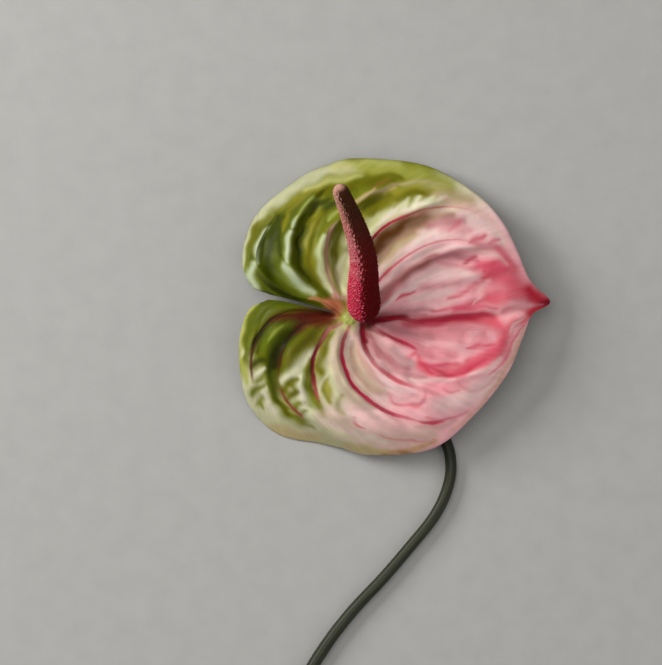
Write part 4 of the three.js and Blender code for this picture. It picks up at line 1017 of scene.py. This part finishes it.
spathe.data.materials.append(waxy_petal)
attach(spathe, "root")
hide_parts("spathe")
print(waxy_petal.name, "has", len(tree.nodes), "nodes")

# %% [markdown]
# ## Round pieces along a curve
#
# The spadix and the stem are both round pieces that follow a curve. The curve is sampled finely, its
# length is measured, and a frame of two directions is carried along it without twisting. Each ring of
# points then lies square to the curve at its share of the length.

# %% A round skin along a path
MEASURES_A_STRETCH = 200


def even_path(places, shares):
    """Places and headings at given shares of the length of the smooth curve through places, which is
    measured as a chain of short straight steps."""
    stretches = len(places) - 1
    fine = through(places, np.linspace(0, stretches, MEASURES_A_STRETCH * stretches + 1))
    length = np.concatenate([[0], np.cumsum(np.linalg.norm(np.diff(fine, axis=0), axis=1))])
    centre = np.stack([np.interp(shares * length[-1], length, fine[:, k]) for k in range(3)], axis=1)
    heading = np.gradient(fine, axis=0)
    heading = np.stack([np.interp(shares * length[-1], length, heading[:, k]) for k in range(3)], axis=1)
    return centre, heading / np.linalg.norm(heading, axis=1, keepdims=True), length[-1]


def carried_frame(heading):
    """Two directions square to the heading at each ring: the first ring's side is X made square to the
    heading, and each next one is the side before it made square again, so the frame never spins."""
    side = np.array([1.0, 0.0, 0.0])
    sides = np.empty_like(heading)
    for ring, ahead in enumerate(heading):
        side = side - side @ ahead * ahead
        side = side / np.linalg.norm(side)
        sides[ring] = side
    return sides, np.cross(heading, sides)


def round_skin(centre, heading, radius):
    """Points of a round piece: centre + radius (cos a side + sin a upright), for a grid of radii with a
    row for each ring and a column for each angle a."""
    sides, uprights = carried_frame(heading)
    angle = 2 * np.pi * np.arange(radius.shape[1]) / radius.shape[1]
    spokes = np.cos(angle)[None, :, None] * sides[:, None] + np.sin(angle)[None, :, None] * uprights[:, None]
    return centre[:, None] + radius[..., None] * spokes


def round_faces(rings, sides):
    """Quads between neighbouring rings, and triangles from a pole point to each end ring. The two poles
    are the points after the last ring."""
    number = np.arange(rings * sides).reshape(rings, sides)
    ahead = np.roll(number, -1, axis=1)
    quads = band(number[:-1], ahead[:-1], ahead[1:], number[1:])
    start = np.stack([np.full(sides, rings * sides), ahead[0], number[0]], axis=1)
    finish = np.stack([np.full(sides, rings * sides + 1), number[-1], ahead[-1]], axis=1)
    return quads, np.concatenate([start, finish])


print("first side of a frame carried along Y:", carried_frame(np.array([[0.0, 1.0, 0.0]]))[0][0])

# %% [markdown]
# ## The spadix
#
# The spadix carries hundreds of florets, packed in staggered rows that read as crossing spirals. A
# floret is a low diamond cushion of four petals around one dot of a stigma. Separate florets would cost
# a lot of faces for a millimetre each, so they are waves in the spike's radius: the product of a cosine
# round it and a cosine along it is a cushion on every second place of a chequerboard.

# %% The spike and its florets
SPADIX_AXIS = [
    (5.7, -0.2, 20.2), (5.1, 11.5, 28.4), (4.9, 24, 36.8), (1.3, 36.5, 45.2), (-4.8, 50.7, 55.4)]
SPADIX_RADIUS = 6.8
SPADIX_TAPER = 0.6
SPADIX_TAPER_POWER = 1.15
SPADIX_BASE_ROUND = 0.14
SPADIX_TIP_ROUND = 0.06
SPADIX_END_FLAT = 0.006
FLORETS_AROUND = 25
FLORET_ROWS = 70
SPADIX_SIDES = 200
SPADIX_RINGS = 421
FLORET_HEIGHT = 0.36
FLORET_ROUNDNESS = 0.8
GROOVE_DEPTH = 0.3
STIGMA_HEIGHT = 0.1
STIGMA_FROM = 0.86
JOSTLE = 1.1
FINE_JOSTLE = 0.9
SWAY = 0.9

share = np.linspace(0, 1, SPADIX_RINGS)
centre, heading, spadix_length = even_path(SPADIX_AXIS, share)
angle = 2 * np.pi * np.arange(SPADIX_SIDES) / SPADIX_SIDES
ends = rounded_end(share + SPADIX_END_FLAT, SPADIX_BASE_ROUND)
ends = ends * rounded_end(1 - share + SPADIX_END_FLAT, SPADIX_TIP_ROUND)
body = SPADIX_RADIUS * (1 - SPADIX_TAPER * share**SPADIX_TAPER_POWER) * ends

share_grid, angle_grid = np.meshgrid(share, angle, indexing="ij")
around_mm, along_mm = angle_grid * SPADIX_RADIUS, share_grid * spadix_length
# Slow waves in their places keep the florets from standing in ruled rows.
jostle = JOSTLE * ripples(around_mm, along_mm, period=5, seed=31)
jostle = jostle + FINE_JOSTLE * ripples(around_mm, along_mm, period=2.2, seed=32)
sway = SWAY * ripples(around_mm, along_mm, period=3, seed=34)
wave = np.cos(FLORETS_AROUND * angle_grid + jostle) * np.cos(np.pi * FLORET_ROWS * share_grid + sway)
cushion = np.where(wave > 0, np.abs(wave) ** FLORET_ROUNDNESS, GROOVE_DEPTH * wave)
stigma = np.clip((wave - STIGMA_FROM) / (1 - STIGMA_FROM), 0, 1)
florets = FLORET_HEIGHT * cushion + STIGMA_HEIGHT * stigma
skin = round_skin(centre, heading, body[:, None] + florets * ends[:, None])
poles = np.stack([centre[0], centre[-1]])
quads, caps = round_faces(SPADIX_RINGS, SPADIX_SIDES)
spadix = make_mesh("spadix_spike", np.concatenate([skin.reshape(-1, 3), poles]) + JOINT, quads, caps)
print("spadix:", round(spadix_length, 1), "mm long,", 2 * len(quads) + len(caps), "triangles")

# %% [markdown]
# Ripe florets are matte and fleshy. They open from the base upwards, so the base is deep crimson and
# the tip, still in bud, is pale cream pink. The side away from the window light is painted shade, dark
# wine red that turns dark bronze towards the tip. The tops of the cushions are painted paler, as a
# painted highlight, and the grooves between them are painted darker.

# %% The colours of the florets
PAINTS_OF_SPIKE = {"ripe": "#b82a46", "turning": "#be6a70", "bud": "#a87462", "tip": "#ba9480",
                   "groove": "#640c1c", "cushion_highlight": "#e08c98", "shade_wine_red": "#4e0202", "shade_bronze": "#381806"}
paints.update({name: linear(colour) for name, colour in PAINTS_OF_SPIKE.items()})

RIPENESS_WAVES = 0.05
GROOVE_TINT = 0.5
GROOVE_EDGE = (-0.2, 0.25)
GROOVE_FADES = 0.4
TOP_HIGHLIGHT_TINT = 0.42
TOP_HIGHLIGHT_EDGE = (0.35, 0.95)
SHADE_TINT = 0.97
SHADE_EDGE = (-0.45, -0.1)
SHADE_TURN = 0.2
SHADE_GROWS = 0.25
SHADE_WAVES = 0.12
TIP_SPARED = (0.97, 1)

ripeness = share_grid + RIPENESS_WAVES * ripples(around_mm, along_mm, period=7, seed=33)
floret_colour = ramp(ripeness, [(0, "ripe"), (0.28, "ripe"), (0.55, "turning"), (0.8, "bud"), (1, "tip")])
in_groove = (GROOVE_TINT * (1 - smooth_step(*GROOVE_EDGE, cushion)))[..., None]
# Painted highlight: the tops of the cushions are painted paler.
top_highlight = (TOP_HIGHLIGHT_TINT * smooth_step(*TOP_HIGHLIGHT_EDGE, cushion))[..., None]
in_groove = in_groove * (1 - GROOVE_FADES * share_grid[..., None])
floret_colour += in_groove * (paints["groove"] - floret_colour)
floret_colour += top_highlight * (paints["cushion_highlight"] - floret_colour)
# Painted shade: the side away from the window is painted dark wine red, dark bronze near the tip.
shade_colours = ramp(share_grid, [(0, "shade_wine_red"), (0.5, "shade_wine_red"), (0.8, "shade_bronze"), (1, "shade_bronze")])
away_from_window = np.cos(angle_grid - SHADE_TURN) + SHADE_GROWS * share_grid
away_from_window = away_from_window + SHADE_WAVES * ripples(around_mm, along_mm, period=2, seed=35)
painted_shade_share = SHADE_TINT * smooth_step(*SHADE_EDGE, away_from_window) * (1 - smooth_step(*TIP_SPARED, share_grid))
floret_colour += painted_shade_share[..., None] * (shade_colours - floret_colour)
pole_colours = np.stack([paints["ripe"], paints["tip"]])
add_attribute(spadix, "floret", np.concatenate([floret_colour.reshape(-1, 3), pole_colours]))
print("mean floret colour, linear:", floret_colour.mean(axis=(0, 1)).round(3))

# %% Fleshy florets: matte, with darker grooves and a painted highlight on the tops
FLORET_GRAIN = 0.35

fleshy_floret, tree = new_material("fleshy_floret")
object_place = add_node(tree, "ShaderNodeTexCoord").outputs["Object"]
floret_node = add_node(tree, "ShaderNodeAttribute", {"attribute_name": "floret"})
grain = add_node(tree, "ShaderNodeTexNoise", Vector=object_place, Scale=1 / (FLORET_GRAIN * MM), Detail=2.0)
grain_tone = add_node(tree, "ShaderNodeMapRange", Value=grain.outputs[0], **NOISE_MIDDLE,
                      To_Min=0.82, To_Max=1.18)
floret_tone = add_node(tree, "ShaderNodeVectorMath", {"operation": "SCALE"},
                       Vector=floret_node.outputs["Color"], Scale=grain_tone.outputs[0])
grain_bump = add_node(tree, "ShaderNodeBump", Strength=0.3, Distance=0.08 * MM, Height=grain.outputs[0])
floret_skin = add_node(tree, "ShaderNodeBsdfPrincipled", Base_Color=floret_tone.outputs[0],
                       Roughness=0.55, IOR=1.42, Specular_IOR_Level=0.08, Normal=grain_bump.outputs[0],
                       Subsurface_Weight=0.1, Subsurface_Scale=0.8 * MM, Subsurface_Radius=(1.0, 0.4, 0.3))
add_node(tree, "ShaderNodeOutputMaterial", Surface=floret_skin.outputs[0])
spadix.data.materials.append(fleshy_floret)
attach(spadix, "root")
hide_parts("spadix")
print(fleshy_floret.name, "has", len(tree.nodes), "nodes")

# %% [markdown]
# ## The stem
#
# The bare stem, the peduncle, ends above in a pale knob that stands in the blade's hole and carries the
# spadix. Below the blade it narrows to a neck, drops to the table and runs on it in a long S to its cut.
# It is smooth, with very faint ridges along it, and a little flattened where it lies on the table. The
# cut slants a little, and shows a pale pith with the ends of the strands that carried water. The last
# rings all lie at the cut and close it towards its middle.

# %% The stem's form
STEM_AXIS = [
    (0.4, 0.4, 18.8), (0, 0, 14.6), (1.4, -1.8, 9.4), (8, -9.8, 4), (18.6, -22.4, 2.4), (30.2, -36, 2.4),
    (38.6, -49, 2.4), (40.8, -60, 2.4), (38.6, -70.6, 2.4), (33.4, -80.6, 2.4), (24.2, -92, 2.4),
    (13.4, -104.6, 2.4), (1.8, -117, 2.4), (-8.2, -129.6, 2.4), (-17.2, -144, 2.4), (-25.4, -162, 2.4),
    (-30.4, -184, 2.4), (-31.6, -208, 2.4), (-30.2, -230, 2.4), (-28, -252, 2.4),
]
KNOB_RADIUS = 3.4
KNOB_ROUND = 2.6
KNOB_END_FLAT = 0.4
KNOB_LENGTH = 5.6
NECK_LENGTH = 12
STEM_NECK_RADIUS = 2.45
STEM_MIDDLE_RADIUS = 2.25
STEM_CUT_RADIUS = 2.9
CUT_SLANT = 1.1
CUT_RINGS = 12
CUT_CLOSES = 0.985
STEM_SIDES = 48
STEM_RINGS = 520
RINGS_TOWARDS_KNOB = 1.4
RIDGES = 9
RIDGE_HEIGHT = 0.05
NARROWS = (0.1, 0.35)
WIDENS = (0.35, 1)

share = np.concatenate([np.linspace(0, 1, STEM_RINGS)**RINGS_TOWARDS_KNOB, np.ones(CUT_RINGS)])
centre, heading, stem_length = even_path(STEM_AXIS, share)
distance = share * stem_length
knob = KNOB_RADIUS * rounded_end(distance + KNOB_END_FLAT, KNOB_ROUND)
stem = STEM_NECK_RADIUS + (STEM_MIDDLE_RADIUS - STEM_NECK_RADIUS) * smooth_step(*NARROWS, share)
stem = stem + (STEM_CUT_RADIUS - stem) * smooth_step(*WIDENS, share)
in_stem = smooth_step(KNOB_LENGTH, NECK_LENGTH, distance)
stem_radius = knob + (stem - knob) * in_stem

angle = 2 * np.pi * np.arange(STEM_SIDES) / STEM_SIDES
inward = np.concatenate([np.zeros(STEM_RINGS), np.linspace(0, 1, CUT_RINGS + 1)[1:]])
ridges = RIDGE_HEIGHT * np.cos(RIDGES * angle)[None] * in_stem[:, None]
radius = (stem_radius[:, None] + ridges) * (1 - CUT_CLOSES * inward[:, None])
skin = round_skin(centre, heading, radius)
slant = CUT_SLANT * np.cos(angle)[None] * (radius / STEM_CUT_RADIUS) * (share[:, None] == 1)
skin = skin + slant[..., None] * heading[:, None]
skin[..., 2] = np.maximum(skin[..., 2], 0)
poles = np.stack([centre[0], centre[-1]])
quads, caps = round_faces(len(share), STEM_SIDES)
peduncle = make_mesh("peduncle_stem", np.concatenate([skin.reshape(-1, 3), poles]) + JOINT, quads, caps)
print("stem:", round(stem_length, 1), "mm long,", 2 * len(quads) + len(caps), "triangles")

# %% The stem's colours
PAINTS_OF_STEM = {"knob": "#a0a554", "neck_shade": "#121208", "stem_green": "#2a2c1c", "stem_dark": "#2a2c20",
                  "pith": "#cfd3a0", "strand": "#8c9a5a"}
paints.update({name: linear(colour) for name, colour in PAINTS_OF_STEM.items()})

STREAK_CONTRAST = 0.16
STREAKS_AROUND = 2.4
STREAKS_ALONG = 0.06
COLOUR_WAVES = 1.5
CUT_EDGE = (0.02, 0.1)
STRAND_EDGE = (0.5, 1.1)

far = np.repeat(distance[:, None], STEM_SIDES, axis=1)
round_stem = np.repeat(angle[None], len(share), axis=0)
streaks = ripples(round_stem * STREAKS_AROUND, far * STREAKS_ALONG, period=1.6, seed=41)
# Painted shade: the neck under the blade is painted near black, for the blade's shadow on it.
stem_colour = ramp(far + COLOUR_WAVES * streaks, [
    (0, "knob"), (5, "knob"), (9, "neck_shade"), (45, "neck_shade"), (100, "stem_green"), (330, "stem_dark")])
stem_colour += STREAK_CONTRAST * streaks[..., None] * stem_colour
is_cut = smooth_step(*CUT_EDGE, inward)[:, None, None]
strands = ripples(skin[..., 0], skin[..., 2], period=0.8, seed=43)
cut_colour = ramp(smooth_step(*STRAND_EDGE, strands), [(0, "pith"), (1, "strand")])
stem_colour += is_cut * (cut_colour - stem_colour)
pole_colours = np.stack([paints["knob"], paints["pith"]])
add_attribute(peduncle, "stem", np.concatenate([stem_colour.reshape(-1, 3), pole_colours]))
is_cut_point = np.concatenate([np.broadcast_to(is_cut[..., 0], far.shape).ravel(), [0, 1]])
add_attribute(peduncle, "cut", is_cut_point)
print("the cut face has", int(is_cut_point.sum()), "points")

# %% Smooth stem: a thin wax over fine fibres, satin along its length
SPECKS = 0.7

satin_stem, tree = new_material("satin_stem")
object_place = add_node(tree, "ShaderNodeTexCoord").outputs["Object"]
stem_node = add_node(tree, "ShaderNodeAttribute", {"attribute_name": "stem"})
cut_node = add_node(tree, "ShaderNodeAttribute", {"attribute_name": "cut"})
specks = add_node(tree, "ShaderNodeTexNoise", Vector=object_place, Scale=1 / (SPECKS * MM), Detail=3.0)
speck_tone = add_node(tree, "ShaderNodeMapRange", Value=specks.outputs[0], **NOISE_MIDDLE,
                      To_Min=0.85, To_Max=1.15)
stem_tone = add_node(tree, "ShaderNodeVectorMath", {"operation": "SCALE"},
                     Vector=stem_node.outputs["Color"], Scale=speck_tone.outputs[0])
stem_rough = add_node(tree, "ShaderNodeMapRange", Value=cut_node.outputs["Fac"], To_Min=0.4, To_Max=0.6)
stem_bump = add_node(tree, "ShaderNodeBump", Strength=0.25, Distance=0.06 * MM, Height=specks.outputs[0])
stem_skin = add_node(tree, "ShaderNodeBsdfPrincipled", Base_Color=stem_tone.outputs[0],
                     Roughness=stem_rough.outputs[0], IOR=1.45, Specular_IOR_Level=0.25,
                     Normal=stem_bump.outputs[0], Subsurface_Weight=0.05, Subsurface_Scale=0.8 * MM,
                     Subsurface_Radius=(0.8, 1.0, 0.3))
add_node(tree, "ShaderNodeOutputMaterial", Surface=stem_skin.outputs[0])
peduncle.data.materials.append(satin_stem)
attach(peduncle, "root")
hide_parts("peduncle")
print(satin_stem.name, "has", len(tree.nodes), "nodes")

# %% [markdown]
# ## The table, the light and the camera
#
# The flower lies on a plain pale surface. One broad soft light stands low on the left, as a window
# would, so that the veins and the spadix throw soft shade to the right. A wide weak light from above
# and a reflector on the right keep the shaded sides readable, and a faint sky fills the rest. The
# camera looks straight down. The table is a board in matt paint, whose roller left a faint unevenness
# that the eye reads as a real surface and no more.

# %% The table
TABLE_SIZE = 3.0
ROLLER_MARKS = 9.0

table_mesh = bpy.data.meshes.new("table_top")
half = TABLE_SIZE / 2
corners = [(-half, -half, 0), (half, -half, 0), (half, half, 0), (-half, half, 0)]
table_mesh.from_pydata(corners, [], [(0, 1, 2, 3)])
table_top = bpy.data.objects.new("table_top", table_mesh)
bpy.context.collection.objects.link(table_top)

painted_board, tree = new_material("painted_board")
object_place = add_node(tree, "ShaderNodeTexCoord").outputs["Object"]
roller = add_node(tree, "ShaderNodeTexNoise", Vector=object_place, Scale=1 / (ROLLER_MARKS * MM), Detail=3.0)
roller_tone = add_node(tree, "ShaderNodeMapRange", Value=roller.outputs[0], **NOISE_MIDDLE,
                       To_Min=0.97, To_Max=1.03)
board_colour = add_node(tree, "ShaderNodeVectorMath", {"operation": "SCALE"},
                        Vector=tuple(linear("#a3a3a2")), Scale=roller_tone.outputs[0])
roller_bump = add_node(tree, "ShaderNodeBump", Strength=0.25, Distance=0.3 * MM, Height=roller.outputs[0])
board_skin = add_node(tree, "ShaderNodeBsdfPrincipled", Base_Color=board_colour.outputs[0], Roughness=0.85,
                      Normal=roller_bump.outputs[0])
add_node(tree, "ShaderNodeOutputMaterial", Surface=board_skin.outputs[0])
table_mesh.materials.append(painted_board)
print("the table is", TABLE_SIZE, "m wide")

# %% The window light, the soft top light and the sky
def soft_light(name, side, place, aim, watts):
    """A square soft light with a side in metres, at a place and turned towards an aim."""
    light = bpy.data.lights.new(name, "AREA")
    light.shape = "SQUARE"
    light.size = side
    light.energy = watts
    light.color = linear("#fffdf8")
    lamp = bpy.data.objects.new(name, light)
    lamp.location = place
    lamp.rotation_euler = (Vector(aim) - Vector(place)).to_track_quat("-Z", "Y").to_euler()
    bpy.context.collection.objects.link(lamp)


FLOWER = (0.0, 0.09, 0.0)
SKY_STRENGTH = 0.1
soft_light("window_light", side=0.55, place=(-0.98, 0.56, 0.62), aim=FLOWER, watts=15.8)
soft_light("top_light", side=1.2, place=(-0.4, 0.4, 1.6), aim=FLOWER, watts=11.5)
soft_light("reflector", side=1.2, place=(0.9, -0.35, 0.9), aim=FLOWER, watts=5.8)

world = bpy.data.worlds.new("dim_room")
world.use_nodes = True
background = world.node_tree.nodes["Background"]
background.inputs["Color"].default_value = (*linear("#f4f6fa"), 1)
background.inputs["Strength"].default_value = SKY_STRENGTH
bpy.context.scene.world = world
bpy.context.scene.view_settings.view_transform = "Standard"

# %% The camera
CAMERA_HEIGHT = 1.0
CAMERA_PLACE = (-0.0255, 0.0886)
SENSOR = 36.0
VIEW_WIDTH = 0.2648
BLADE_LEVEL = 0.012

camera_data = bpy.data.cameras.new("camera")
camera_data.sensor_width = SENSOR
camera_data.sensor_fit = "HORIZONTAL"
camera_data.lens = SENSOR * (CAMERA_HEIGHT - BLADE_LEVEL) / VIEW_WIDTH
camera_data.clip_end = 10
camera = bpy.data.objects.new("camera", camera_data)
camera.location = (*CAMERA_PLACE, CAMERA_HEIGHT)
bpy.context.collection.objects.link(camera)
bpy.context.scene.camera = camera
print("lens:", round(camera_data.lens, 1), "mm")
